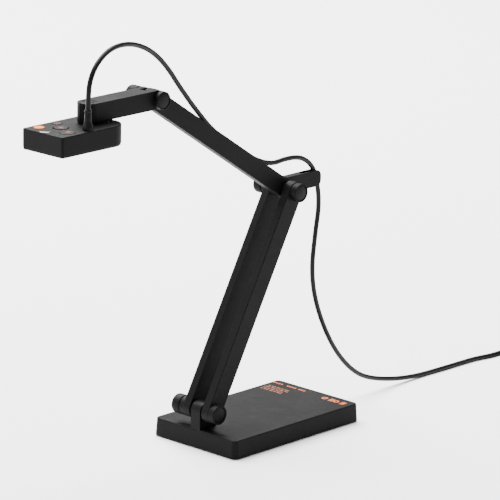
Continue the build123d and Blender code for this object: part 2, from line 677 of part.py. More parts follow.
with BuildPart() as head_arm_screws:
    for screw_x in (front_web_x, rear_web_x):
        with BuildSketch(side_plane(HEAD_ARM_SIDE)):
            with Locations((screw_x, shell_screw_z)):
                Circle(SHELL_SCREW_HEAD_RADIUS)
        extrude(amount=shell_screw_head)
        with BuildSketch(side_plane(HEAD_ARM_SIDE - shell_screw_head)):
            with Locations((screw_x, shell_screw_z)):
                Circle(SHELL_SCREW_RADIUS)
        extrude(amount=SHELL_SCREW_LENGTH)
head_arm_screws.part.label = "head_arm_screws"
export_step(head_arm_screws.part, "parts/head_arm_screws.step")

with BuildPart() as swivel_bush:
    with BuildSketch(Plane.XY.offset(HEAD_ARM_BOTTOM - SWIVEL_FLANGE)):
        with Locations((SWIVEL_X, 0)):
            Circle(SWIVEL_FLANGE_RADIUS)
    extrude(amount=SWIVEL_FLANGE)
    with BuildSketch(Plane.XY.offset(HEAD_ARM_BOTTOM)):
        with Locations((SWIVEL_X, 0)):
            Circle(SWIVEL_BUSH_RADIUS)
    extrude(amount=SWIVEL_BUSH_LENGTH)
    with BuildSketch(Plane.XY.offset(HEAD_ARM_BOTTOM - SWIVEL_FLANGE)):
        with Locations((SWIVEL_X, 0)):
            Circle(SWIVEL_POST_RADIUS + RUNNING_FIT)
    extrude(amount=SWIVEL_BUSH_LENGTH + SWIVEL_FLANGE, mode=Mode.SUBTRACT)
swivel_bush.part.label = "swivel_bush"
export_step(swivel_bush.part, "parts/swivel_bush.step")

with BuildPart() as swivel_cover:
    with BuildSketch(Plane.XY.offset(HEAD_ARM_TOP - SWIVEL_COVER)):
        with Locations((SWIVEL_X, 0)):
            Circle(SWIVEL_COVER_RADIUS)
    extrude(amount=SWIVEL_COVER)
    chamfer(swivel_cover.faces().sort_by(Axis.Z)[-1].edges(), 0.25)
    with BuildSketch(Plane.XY.offset(HEAD_ARM_TOP)):
        with Locations((SWIVEL_X, 0)):
            Circle(SWIVEL_COVER_RADIUS - 1.3)
            Circle(SWIVEL_COVER_RADIUS - 1.8, mode=Mode.SUBTRACT)
    extrude(amount=-0.3, mode=Mode.SUBTRACT)
swivel_cover.part.label = "swivel_cover"
export_step(swivel_cover.part, "parts/swivel_cover.step")

# ============================== camera head ==============================================
bush_top = HEAD_ARM_BOTTOM + SWIVEL_BUSH_LENGTH
post_top = bush_top + 0.4
washer_top = post_top + 0.8
post_foot = 1.6
screw_bore = 1.25

with BuildPart() as swivel_post:
    with BuildSketch(Plane.XY.offset(CEILING - post_foot)):
        with Locations((SWIVEL_X, 0)):
            Circle(SWIVEL_FLANGE_RADIUS)
    extrude(amount=post_foot)
    with BuildSketch(Plane.XY.offset(CEILING)):
        with Locations((SWIVEL_X, 0)):
            Circle(SWIVEL_POST_RADIUS)
    extrude(amount=post_top - CEILING)
    with BuildSketch(Plane.XY.offset(post_top)):
        with Locations((SWIVEL_X, 0)):
            Circle(screw_bore)
    extrude(amount=-6.0, mode=Mode.SUBTRACT)
swivel_post.part.label = "swivel_post"
export_step(swivel_post.part, "parts/swivel_post.step")

with BuildPart() as swivel_washer:
    with BuildSketch(Plane.XY.offset(post_top)):
        with Locations((SWIVEL_X, 0)):
            Circle(SWIVEL_BUSH_RADIUS)
            Circle(screw_bore, mode=Mode.SUBTRACT)
    extrude(amount=washer_top - post_top)
swivel_washer.part.label = "swivel_washer"
export_step(swivel_washer.part, "parts/swivel_washer.step")

with BuildPart() as swivel_screw:
    with BuildSketch(Plane.XY.offset(post_top - 6.0)):
        with Locations((SWIVEL_X, 0)):
            Circle(screw_bore)
    extrude(amount=washer_top - post_top + 6.0)
    with BuildSketch(Plane.XY.offset(washer_top)):
        with Locations((SWIVEL_X, 0)):
            Circle(2.5)
    extrude(amount=1.5)
    with BuildSketch(Plane.XY.offset(washer_top + 1.5)):
        with Locations((SWIVEL_X, 0)):
            Rectangle(3.0, 0.6)
            Rectangle(0.6, 3.0)
    extrude(amount=-0.8, mode=Mode.SUBTRACT)
swivel_screw.part.label = "swivel_screw"
export_step(swivel_screw.part, "parts/swivel_screw.step")


def head_outline(inset=0.0):
    """The head from above: a nearly square front and a rear with large rounded corners."""
    width = HEAD_WIDTH - 2 * inset
    reach = HEAD_REACH - inset
    with Locations((SWIVEL_X - reach / 2, 0)):
        RectangleRounded(reach, width, max(HEAD_CORNER - inset, 0.6))
    with Locations((SWIVEL_X, 0)):
        RectangleRounded(2 * (HEAD_REAR - inset), width, HEAD_REAR_CORNER - inset)


cover_top = HEAD_BOTTOM + HEAD_COVER
head_posts = [
    (HEAD_FRONT + HEAD_WALL + 1.6, side * (HEAD_WIDTH / 2 - HEAD_WALL - 1.6)) for side in (-1, 1)
] + [(SWIVEL_X + 9.6, side * 10.4) for side in (-1, 1)]
board_bosses = [(SWIVEL_X - 9.4, 8.4), (HEAD_FRONT + 7.0, 0.0)]

with BuildPart() as head_top_cover:
    with BuildSketch(Plane.XY.offset(cover_top)):
        head_outline()
    extrude(amount=HEAD_TOP - cover_top)
    fillet(head_top_cover.faces().sort_by(Axis.Z)[-1].edges(), 0.7)
    with BuildSketch(Plane.XY.offset(cover_top)):
        head_outline(HEAD_WALL)
    extrude(amount=CEILING - cover_top, mode=Mode.SUBTRACT)
    with BuildSketch(Plane.XY.offset(cover_top)):
        with Locations(*head_posts):
            Circle(2.4)
    extrude(amount=BOARD_HEIGHT)
    with BuildSketch(Plane.XY.offset(BOARD_TOP)):
        with Locations(*board_bosses):
            Circle(1.8)
    extrude(amount=CEILING - BOARD_TOP)
    with BuildSketch(Plane.XY.offset(cover_top)):
        with Locations(*head_posts):
            Circle(HEAD_SCREW_RADIUS)
    extrude(amount=4.0, mode=Mode.SUBTRACT)
    for name, reach, y, radius in BUTTONS:
        with BuildSketch(Plane.XY.offset(CEILING)):
            with Locations((SWIVEL_X - reach, y)):
                Circle(radius + BUTTON_GAP)
        extrude(amount=HEAD_CEILING, mode=Mode.SUBTRACT)
    with BuildSketch(Plane.XY.offset(CEILING)):
        with Locations((SWIVEL_X, 0)):
            Circle(SWIVEL_POST_RADIUS)
        with Locations((RELIEF_X, RELIEF_Y)):
            Circle(RELIEF_SLEEVE)
    extrude(amount=HEAD_CEILING, mode=Mode.SUBTRACT)
head_top_cover.part.label = "head_top_cover"
export_step(head_top_cover.part, "parts/head_top_cover.step")

light_x = HEAD_FRONT + 7.2
microphone = (HEAD_FRONT + 9.0, 9.0)
window_bottom = cover_top - WINDOW_THICKNESS

with BuildPart() as head_bottom_cover:
    with BuildSketch(Plane.XY.offset(HEAD_BOTTOM)):
        head_outline(COVER_INSET)
    extrude(amount=HEAD_COVER)
    fillet(head_bottom_cover.faces().sort_by(Axis.Z)[0].edges(), 0.5)
    with BuildSketch(Plane.XY.offset(HEAD_BOTTOM)):
        with Locations((LENS_X, 0)):
            Circle(WINDOW_RADIUS - 0.7)
        with Locations((light_x, 0)):
            Circle(1.5)
        with Locations(microphone):
            Circle(0.6)
        with Locations(*head_posts):
            Circle(HEAD_SCREW_RADIUS)
    extrude(amount=HEAD_COVER, mode=Mode.SUBTRACT)
    with BuildSketch(Plane.XY.offset(window_bottom)):
        with Locations((LENS_X, 0)):
            Circle(WINDOW_RADIUS)
    extrude(amount=WINDOW_THICKNESS, mode=Mode.SUBTRACT)
    with BuildSketch(Plane.XY.offset(HEAD_BOTTOM)):
        with Locations(*head_posts):
            Circle(HEAD_SCREW_HEAD_RADIUS)
    extrude(amount=0.7, mode=Mode.SUBTRACT)
head_bottom_cover.part.label = "head_bottom_cover"
export_step(head_bottom_cover.part, "parts/head_bottom_cover.step")

with BuildPart() as head_screws:
    with BuildSketch(Plane.XY.offset(HEAD_BOTTOM)):
        with Locations(*head_posts):
            Circle(HEAD_SCREW_HEAD_RADIUS)
    extrude(amount=0.7)
    with BuildSketch(Plane.XY.offset(HEAD_BOTTOM + 0.7)):
        with Locations(*head_posts):
            Circle(HEAD_SCREW_RADIUS)
    extrude(amount=HEAD_COVER + 3.3)
head_screws.part.label = "head_screws"
export_step(head_screws.part, "parts/head_screws.step")

with BuildPart() as lens_window:
    with BuildSketch(Plane.XY.offset(window_bottom)):
        with Locations((LENS_X, 0)):
            Circle(WINDOW_RADIUS)
    extrude(amount=WINDOW_THICKNESS)
lens_window.part.label = "lens_window"
export_step(lens_window.part, "parts/lens_window.step")

board_front = HEAD_FRONT + HEAD_WALL + 4.2
board_back = SWIVEL_X + 6.0
with BuildPart() as main_board:
    with BuildSketch(Plane.XY.offset(BOARD_BOTTOM)):
        with Locations(((board_front + board_back) / 2, 0)):
            RectangleRounded(board_back - board_front, HEAD_WIDTH - 2 * HEAD_WALL - 3.6, 1.5)
    extrude(amount=BOARD_THICKNESS)
main_board.part.label = "main_board"
export_step(main_board.part, "parts/main_board.step")

with BuildPart() as image_sensor:
    with BuildSketch(Plane.XY.offset(BOARD_BOTTOM - 0.7)):
        with Locations((LENS_X, 0)):
            Rectangle(7.0, 6.0)
    extrude(amount=0.7)
image_sensor.part.label = "image_sensor"
export_step(image_sensor.part, "parts/image_sensor.step")

lens_bottom = cover_top + 0.15
holder_bottom = BOARD_BOTTOM - 2.0
with BuildPart() as lens_holder:
    with BuildSketch(Plane.XY.offset(holder_bottom)):
        with Locations((LENS_X, 0)):
            RectangleRounded(11.0, 11.0, 1.0)
    extrude(amount=BOARD_BOTTOM - holder_bottom)
    with BuildSketch(Plane.XY.offset(lens_bottom + 0.3)):
        with Locations((LENS_X, 0)):
            Circle(5.0)
    extrude(amount=holder_bottom - lens_bottom - 0.3)
    with BuildSketch(Plane.XY.offset(lens_bottom)):
        with Locations((LENS_X, 0)):
            Circle(4.0)
    extrude(amount=BOARD_BOTTOM - lens_bottom, mode=Mode.SUBTRACT)
    with BuildSketch(Plane.XY.offset(BOARD_BOTTOM - 0.8)):
        with Locations((LENS_X, 0)):
            Rectangle(8.6, 8.6)
    extrude(amount=0.8, mode=Mode.SUBTRACT)
lens_holder.part.label = "lens_holder"
export_step(lens_holder.part, "parts/lens_holder.step")

barrel_height = BOARD_BOTTOM - 0.9 - lens_bottom
with BuildPart() as lens_barrel:
    with BuildSketch(Plane.XY.offset(lens_bottom)):
        with Locations((LENS_X, 0)):
            Circle(4.0)
            Circle(2.9, mode=Mode.SUBTRACT)
    extrude(amount=barrel_height)
lens_barrel.part.label = "lens_barrel"
export_step(lens_barrel.part, "parts/lens_barrel.step")

with BuildPart() as lens_glass:
    with BuildSketch(Plane.XY.offset(lens_bottom + 0.5)):
        with Locations((LENS_X, 0)):
            Circle(2.9)
    extrude(amount=barrel_height - 1.0)
    fillet(lens_glass.faces().sort_by(Axis.Z)[0].edges(), 0.5)
lens_glass.part.label = "lens_glass"
export_step(lens_glass.part, "parts/lens_glass.step")

with BuildPart() as lamp:
    with BuildSketch(Plane.XY.offset(BOARD_BOTTOM - 1.2)):
        with Locations((light_x, 0)):
            Rectangle(2.4, 3.2)
    extrude(amount=1.2)
lamp.part.label = "lamp_chip"
export_step(lamp.part, "parts/lamp_chip.step")

with BuildPart() as light_pipe:
    with BuildSketch(Plane.XY.offset(HEAD_BOTTOM + 0.1)):
        with Locations((light_x, 0)):
            Circle(1.5)
    extrude(amount=BOARD_HEIGHT - 1.4)
light_pipe.part.label = "light_pipe"
export_step(light_pipe.part, "parts/light_pipe.step")

with BuildPart() as mic:
    with BuildSketch(Plane.XY.offset(BOARD_BOTTOM - 1.1)):
        with Locations(microphone):
            Rectangle(3.8, 3.0)
    extrude(amount=1.1)
mic.part.label = "microphone"
export_step(mic.part, "parts/microphone.step")

with BuildPart() as switches:
    for name, reach, y, radius in BUTTONS:
        with BuildSketch(Plane.XY.offset(BOARD_TOP)):
            with Locations((SWIVEL_X - reach, y)):
                Rectangle(3.4, 3.4)
        extrude(amount=SWITCH_HEIGHT - 0.4)
        with BuildSketch(Plane.XY.offset(BOARD_TOP + SWITCH_HEIGHT - 0.4)):
            with Locations((SWIVEL_X - reach, y)):
                Circle(0.9)
        extrude(amount=0.4)
switches.part.label = "button_switches"
export_step(switches.part, "parts/button_switches.step")

flange_top = CEILING - 0.25
flange_height = 0.8
stem_bottom = BOARD_TOP + SWITCH_HEIGHT + BUTTON_TRAVEL + 0.1
for name, reach, y, radius in BUTTONS:
    with BuildPart() as button:
        with BuildSketch(Plane.XY.offset(flange_top)):
            with Locations((SWIVEL_X - reach, y)):
                Circle(radius)
        extrude(amount=HEAD_TOP + BUTTON_PROUD - flange_top)
        fillet(button.faces().sort_by(Axis.Z)[-1].edges(), 0.3)
        with BuildSketch(Plane.XY.offset(flange_top - flange_height)):
            with Locations((SWIVEL_X - reach, y)):
                Circle(radius + BUTTON_FLANGE)
        extrude(amount=flange_height)
        with BuildSketch(Plane.XY.offset(stem_bottom)):
            with Locations((SWIVEL_X - reach, y)):
                Circle(1.3)
        extrude(amount=flange_top - flange_height - stem_bottom)
    button.part.label = name
    export_step(button.part, f"parts/{name}.step")

with BuildPart() as relief:
    with BuildSketch(Plane.XZ.offset(-RELIEF_Y)):
        Polygon(
            (RELIEF_X, CEILING - 1.2),
            (RELIEF_X + RELIEF_SLEEVE, CEILING - 1.2),
            (RELIEF_X + RELIEF_SLEEVE, HEAD_TOP),
            (RELIEF_X + RELIEF_RADIUS, HEAD_TOP),
            (RELIEF_X + RELIEF_RADIUS, HEAD_TOP + 0.8),
            (RELIEF_X + RELIEF_SLEEVE, HEAD_TOP + RELIEF_FLARE),
            (RELIEF_X + RELIEF_SLEEVE, HEAD_TOP + RELIEF_HEIGHT),
            (RELIEF_X, HEAD_TOP + RELIEF_HEIGHT),
            align=None,
        )
    revolve(axis=Axis((RELIEF_X, RELIEF_Y, 0), (0, 0, 1)))
    with BuildSketch(Plane.XY.offset(LOOP_ROUTE[0][2])):
        with Locations((RELIEF_X, RELIEF_Y)):
            Circle(CORD_RADIUS)
    extrude(amount=RELIEF_HEIGHT, mode=Mode.SUBTRACT)
relief.part.label = "cord_strain_relief"
export_step(relief.part, "parts/cord_strain_relief.step")

# ============================== cord =====================================================
cord_tube("cord_loop", LOOP_ROUTE)
cord_tube("cord_arm_run", ARM_ROUTE)
cord_tube("cord_drop", DROP_ROUTE)
cord_tube("cord_floor", FLOOR_ROUTE)
cord_tube("cord_end", END_ROUTE)

tie_angle = math.radians(TIE_ANGLE)
tie_radius = COIL_MID_RADIUS - 0.5  # a little inwards, for the curve of the coil's inside
tie_inside = COIL_OUTER - COIL_INNER + 1.3
coil_top = TIE_THICKNESS + COIL_HEIGHT  # the coil rests on the tie that passes under it
tie_start = Plane(
    origin=(
        COIL_X + tie_radius * math.cos(tie_angle),
        COIL_Y + tie_radius * math.sin(tie_angle),
        (coil_top + TIE_THICKNESS) / 2,
    ),
    x_dir=(math.cos(tie_angle), math.sin(tie_angle), 0),
    z_dir=(math.sin(tie_angle), -math.cos(tie_angle), 0),
).offset(-TIE_WIDTH / 2)

coil_start = FLOOR_ROUTE[-1]
coil_exit = END_ROUTE[0]
with BuildPart() as coil:
    with BuildSketch():
        with Locations(((coil_start[0] + COIL_X) / 2, coil_start[1])):
            Rectangle(COIL_X - coil_start[0], 2 * CORD_RADIUS)
        with Locations((coil_exit[0], (coil_exit[1] + COIL_Y) / 2)):
            Rectangle(2 * CORD_RADIUS, COIL_Y - coil_exit[1])
    extrude(amount=2 * CORD_RADIUS)
    with BuildSketch(Plane.XY.offset(TIE_THICKNESS)):
        with Locations((COIL_X, COIL_Y)):
            Circle(COIL_OUTER)
    extrude(amount=COIL_HEIGHT)
    with BuildSketch():
        with Locations((COIL_X, COIL_Y)):
            Circle(COIL_INNER)
    extrude(amount=coil_top, mode=Mode.SUBTRACT)
coil.part.label = "cord_coil"
export_step(coil.part, "parts/cord_coil.step")

with BuildPart() as tie:
    with BuildSketch(tie_start):
        Rectangle(tie_inside + 2 * TIE_THICKNESS, COIL_HEIGHT + 2 * TIE_THICKNESS)
        Rectangle(tie_inside, COIL_HEIGHT, mode=Mode.SUBTRACT)
    extrude(amount=TIE_WIDTH)
tie.part.label = "cord_tie"
export_step(tie.part, "parts/cord_tie.step")

# ============================== plug =====================================================
plug_start = Vector(*END_ROUTE[-1])
plug_heading = plug_start - Vector(*END_ROUTE[-2])
plug_plane = Plane(
    origin=(plug_start.X, plug_start.Y, PLUG_HEIGHT / 2),
    x_dir=(-plug_heading.Y, plug_heading.X, 0),
    z_dir=(plug_heading.X, plug_heading.Y, 0),
)
body_start = plug_plane.offset(PLUG_RELIEF)
with BuildPart() as plug_body:
    with BuildSketch(plug_plane):
        Circle(CORD_RADIUS + 0.8)
    with BuildSketch(body_start):
        Circle(CORD_RADIUS + 2.0)
    loft()
    with BuildSketch(body_start):
        RectangleRounded(PLUG_WIDTH, PLUG_HEIGHT, 2.0)
    extrude(amount=PLUG_LENGTH)
    for rib in range(PLUG_RIBS):
        with BuildSketch(body_start.offset(3.0 + 2.4 * rib)):
            Rectangle(PLUG_WIDTH + 1, PLUG_HEIGHT + 1)
            Rectangle(PLUG_WIDTH - 0.8, PLUG_HEIGHT + 1, mode=Mode.SUBTRACT)
        extrude(amount=1.2, mode=Mode.SUBTRACT)
plug_body.part.label = "plug_body"
export_step(plug_body.part, "parts/plug_body.step")

with BuildPart() as plug_shell:
    with BuildSketch(body_start.offset(PLUG_LENGTH)):
        Rectangle(PLUG_SHELL[0], PLUG_SHELL[2])
    extrude(amount=PLUG_SHELL[1])
    with BuildSketch(body_start.offset(PLUG_LENGTH)):
        Rectangle(PLUG_SHELL[0] - 0.6, PLUG_SHELL[2] - 0.6)
        with Locations((0, -0.9)):
            Rectangle(PLUG_SHELL[0] - 0.6, 1.9, mode=Mode.SUBTRACT)
    extrude(amount=PLUG_SHELL[1], mode=Mode.SUBTRACT)
plug_shell.part.label = "plug_shell"
export_step(plug_shell.part, "parts/plug_shell.step")
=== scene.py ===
import logging
import math
from contextlib import contextmanager
from dataclasses import dataclass
from enum import Enum
from typing import Callable, Iterator, Sequence

import bmesh
import bpy
from mathutils import Matrix, Vector


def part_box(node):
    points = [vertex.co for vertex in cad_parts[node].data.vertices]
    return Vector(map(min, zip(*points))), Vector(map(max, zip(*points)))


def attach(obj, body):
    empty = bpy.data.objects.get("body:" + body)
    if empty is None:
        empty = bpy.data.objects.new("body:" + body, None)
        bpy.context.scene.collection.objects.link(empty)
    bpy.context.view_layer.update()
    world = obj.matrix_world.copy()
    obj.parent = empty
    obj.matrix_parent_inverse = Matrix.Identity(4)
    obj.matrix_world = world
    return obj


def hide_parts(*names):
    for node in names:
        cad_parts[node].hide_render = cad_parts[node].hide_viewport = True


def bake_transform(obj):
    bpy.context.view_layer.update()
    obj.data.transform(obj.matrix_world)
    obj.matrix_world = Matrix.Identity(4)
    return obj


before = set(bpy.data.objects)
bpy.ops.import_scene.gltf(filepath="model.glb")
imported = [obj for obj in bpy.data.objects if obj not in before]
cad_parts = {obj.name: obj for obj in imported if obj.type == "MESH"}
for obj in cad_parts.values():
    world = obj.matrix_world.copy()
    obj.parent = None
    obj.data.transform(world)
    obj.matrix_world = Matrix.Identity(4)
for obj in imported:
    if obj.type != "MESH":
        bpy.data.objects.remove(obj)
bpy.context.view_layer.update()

log = logging.getLogger("document_camera")

Point = tuple[float, float, float]
Colour = tuple[float, float, float]
Profile = Sequence[tuple[float, float]]

MM = 0.001
CORD_RADIUS = 0.0016
CORD_DIAMETER = 2 * CORD_RADIUS


class Body(str, Enum):
    """The bodies that pieces ride on."""

    BASE = "base"
    LOWER_ARM = "lower_arm"
    UPPER_ARM = "upper_arm"
    HEAD_ARM = "head_arm"
    HEAD = "camera_head"


class Slot(str, Enum):
    """Names of the material slots, one for each kind of finish."""

    SHELL = "shell_plastic"
    COVER = "cover_plastic"
    STEEL = "steel"
    ORANGE = "orange_plastic"
    JACKET = "cord_jacket"
    TIE = "tie_fabric"
    DIFFUSER = "diffuser"


# ---- modelling helpers ---------------------------------------------------------------------
def deselect_all() -> None:
    """Leave nothing selected and nothing active."""
    bpy.ops.object.select_all(action="DESELECT")
    bpy.context.view_layer.objects.active = None


def activate(piece: bpy.types.Object) -> None:
    """Make this piece the only selected object, and the active one."""
    deselect_all()
    piece.select_set(True)
    bpy.context.view_layer.objects.active = piece


@contextmanager
def editing(piece: bpy.types.Object) -> Iterator[None]:
    """Edit mode on one piece, for the length of a with block.

    Args:
        piece: The mesh object to edit.
    """
    activate(piece)
    bpy.ops.object.mode_set(mode="EDIT")
    yield
    bpy.ops.object.mode_set(mode="OBJECT")


def select_faces(piece: bpy.types.Object, wanted: Callable[[bmesh.types.BMFace], bool]) -> None:
    """Select only the faces that pass a test, in edit mode.

    Args:
        piece: The mesh object in edit mode.
        wanted: Tells whether a face is to be selected.
    """
    bpy.context.tool_settings.mesh_select_mode = (False, False, True)
    bpy.ops.mesh.select_all(action="DESELECT")
    mesh = bmesh.from_edit_mesh(piece.data)
    for face in mesh.faces:
        if wanted(face):
            face.select_set(True)
    bmesh.update_edit_mesh(piece.data)


def select_edges(piece: bpy.types.Object, wanted: Callable[[bmesh.types.BMEdge], bool]) -> None:
    """Select only the edges that pass a test, in edit mode.

    Args:
        piece: The mesh object in edit mode.
        wanted: Tells whether an edge is to be selected.
    """
    bpy.context.tool_settings.mesh_select_mode = (False, True, False)
    bpy.ops.mesh.select_all(action="DESELECT")
    mesh = bmesh.from_edit_mesh(piece.data)
    for edge in mesh.edges:
        if wanted(edge):
            edge.select_set(True)
    bmesh.update_edit_mesh(piece.data)


def face_points(direction: Point, least: float = 0.9) -> Callable[[bmesh.types.BMFace], bool]:
    """A test for faces whose normal points in a direction.

    Args:
        direction: The unit direction.
        least: The smallest cosine that still counts.

    Returns:
        The test, for select_faces.
    """
    return lambda face: face.normal.dot(Vector(direction)) > least


def edge_runs(direction: Point) -> Callable[[bmesh.types.BMEdge], bool]:
    """A test for straight edges that run along a direction.

    Args:
        direction: The unit direction.

    Returns:
        The test, for select_edges.
    """

    def along(edge: bmesh.types.BMEdge) -> bool:
        """True if the edge runs along the direction."""
        run = edge.verts[1].co - edge.verts[0].co
        return run.length > 0 and abs(run.normalized().dot(Vector(direction))) > 0.999

    return along


def modify(piece: bpy.types.Object, kind: str, **settings: object) -> None:
    """Add a modifier to a piece and apply it.

    Args:
        piece: The mesh object.
        kind: The modifier's type.
        settings: The modifier's own settings.
    """
    activate(piece)
    modifier = piece.modifiers.new(kind.lower(), kind)
    for key, value in settings.items():
        setattr(modifier, key, value)
    bpy.ops.object.modifier_apply(modifier=modifier.name)


def soften(piece: bpy.types.Object, width: float, segments: int = 2, angle: float = 40.0) -> None:
    """Round a piece's sharp edges and shade it smooth between them.

    Args:
        piece: The mesh object.
        width: The bevel's width in metres.
        segments: The bevel's segments.
        angle: Edges sharper than this, in degrees, are rounded.
    """
    modify(
        piece,
        "BEVEL",
        width=width,
        segments=segments,
        limit_method="ANGLE",
        angle_limit=math.radians(angle),
        use_clamp_overlap=True,
    )
    activate(piece)
    bpy.ops.object.shade_smooth_by_angle(angle=math.radians(35))


def settle(piece: bpy.types.Object, place: Matrix) -> None:
    """Move a piece's mesh to its place, with the object left at the origin, unturned.

    Args:
        piece: The mesh object, modelled about the origin.
        place: The transform from where it was modelled to where it belongs.
    """
    piece.matrix_world = place @ piece.matrix_world
    activate(piece)
    bpy.ops.object.transform_apply(location=True, rotation=True, scale=True)


def face_outwards(piece: bpy.types.Object) -> None:
    """Merge doubles and turn every face of a closed piece outwards."""
    with editing(piece):
        bpy.ops.mesh.select_all(action="SELECT")
        bpy.ops.mesh.remove_doubles(threshold=1e-7)
        bpy.ops.mesh.normals_make_consistent(inside=False)


def turned(name: str, profile: Profile, segments: int = 64) -> bpy.types.Object:
    """A turned piece along +Z: a disc, extruded and scaled from step to step of its profile.

    Args:
        name: The piece's name.
        profile: Radius and height of each step, in metres, from the foot to the centre of the top.
        segments: How many sides the circle has.

    Returns:
        The closed mesh object, about the Z axis.
    """
    deselect_all()
    radius, height = profile[0]
    bpy.ops.mesh.primitive_circle_add(
        vertices=segments, radius=radius, fill_type="NGON", location=(0, 0, height)
    )
    piece = bpy.context.active_object
    piece.name = name
    with editing(piece):
        bpy.ops.mesh.select_all(action="SELECT")
        for next_radius, next_height in profile[1:]:
            rise = (0, 0, next_height - height)
            bpy.ops.mesh.extrude_region_move(TRANSFORM_OT_translate={"value": rise})
            share = next_radius / radius
            bpy.ops.transform.resize(
                value=(share, share, 1), center_override=(0, 0, next_height)
            )
            radius, height = next_radius, next_height
    face_outwards(piece)
    return piece


def block(name: str, size: Point) -> bpy.types.Object:
    """A block about the origin, as the start of a shaped piece.

    Args:
        name: The piece's name.
        size: Its sides in metres.

    Returns:
        The mesh object.
    """
    deselect_all()
    bpy.ops.mesh.primitive_cube_add(size=1, scale=size)
    piece = bpy.context.active_object
    piece.name = name
    bpy.ops.object.transform_apply(location=True, rotation=True, scale=True)
    return piece


def join(pieces: Sequence[bpy.types.Object], name: str) -> bpy.types.Object:
    """Several meshes made one.

    Args:
        pieces: The mesh objects, at least one.
        name: The name of the whole.

    Returns:
        The one mesh object.
    """
    deselect_all()
    for piece in pieces:
        piece.select_set(True)
    bpy.context.view_layer.objects.active = pieces[0]
    if len(pieces) > 1:
        bpy.ops.object.join()
    whole = bpy.context.view_layer.objects.active
    whole.name = name
    return whole


def middle(node: str) -> Vector:
    """The middle of a CAD node's box, in metres."""
    low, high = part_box(node)
    return (Vector(low) + Vector(high)) / 2


def pose(at: Vector, axis: Point = (0, 0, 1), turn: float = 0.0) -> Matrix:
    """A transform that stands the Z axis along an axis at a point.

    Args:
        at: Where the origin goes.
        axis: Where the Z axis goes.
        turn: A turn about the Z axis first, in degrees.

    Returns:
        The transform.
    """
    stand = Vector((0, 0, 1)).rotation_difference(Vector(axis)).to_matrix().to_4x4()
    return Matrix.Translation(at) @ stand @ Matrix.Rotation(math.radians(turn), 4, "Z")


# ---- shader groups and finishes --------------------------------------------------------------
@dataclass
class Graph:
    """A node tree, with short ways to add nodes and to join them."""

    tree: bpy.types.NodeTree

    def add(self, kind: str, settings: dict[str, object] | None = None, **inputs: object) -> bpy.types.Node:
        """Add a node.

        Args:
            kind: The node's type.
            settings: Its properties.
            inputs: Its sockets by name, with _ for a space: a value, or a socket to link.

        Returns:
            The node.
        """
        node = self.tree.nodes.new(kind)
        for key, value in (settings or {}).items():
            setattr(node, key, value)
        for key, value in inputs.items():
            self.feed(node.inputs[key.replace("_", " ")], value)
        return node

    def feed(self, socket: bpy.types.NodeSocket, value: object) -> None:
        """Link a socket, or set its value.

        Args:
            socket: The input socket.
            value: A value, or the output socket to link.
        """
        if isinstance(value, bpy.types.NodeSocket):
            self.tree.links.new(value, socket)
        else:
            socket.default_value = value

    def sum(self, operation: str, first: object, second: object = 0.0) -> bpy.types.NodeSocket:
        """One step of arithmetic.

        Args:
            operation: The Math node's operation.
            first: Its first value or socket.
            second: Its second value or socket.

        Returns:
            The result's socket.
        """
        node = self.add("ShaderNodeMath", {"operation": operation})
        self.feed(node.inputs[0], first)
        self.feed(node.inputs[1], second)
        return node.outputs[0]

    def span(
        self, value: object, low: float, high: float, start: float = 0.0, end: float = 1.0
    ) -> bpy.types.NodeSocket:
        """A value's smooth way from one level to another.

        Args:
            value: The socket to map.
            low: Where the way starts.
            high: Where it ends.
            start: The result at or below low.
            end: The result at or above high.

        Returns:
            The result's socket.
        """
        node = self.add("ShaderNodeMapRange", {"interpolation_type": "SMOOTHSTEP"})
        for socket, number in zip(node.inputs, (value, low, high, start, end)):
            self.feed(socket, number)
        return node.outputs[0]

    def blend(self, factor: object, first: object, second: object) -> bpy.types.NodeSocket:
        """A colour between two.

        Args:
            factor: 0 for the first, 1 for the second.
            first: The first colour or socket.
            second: The second colour or socket.

        Returns:
            The colour's socket.
        """
        node = self.add("ShaderNodeMix", {"data_type": "RGBA"})
        for index, value in ((0, factor), (6, first), (7, second)):
            self.feed(node.inputs[index], value)
        return node.outputs[2]


def rgba(colour: Colour) -> tuple[float, float, float, float]:
    """The colour with full opacity."""
    return (*colour, 1.0)


def shade(colour: Colour, factor: float) -> tuple[float, float, float, float]:
    """The colour made darker or lighter by a factor, with full opacity."""
    return rgba(tuple(factor * part for part in colour))


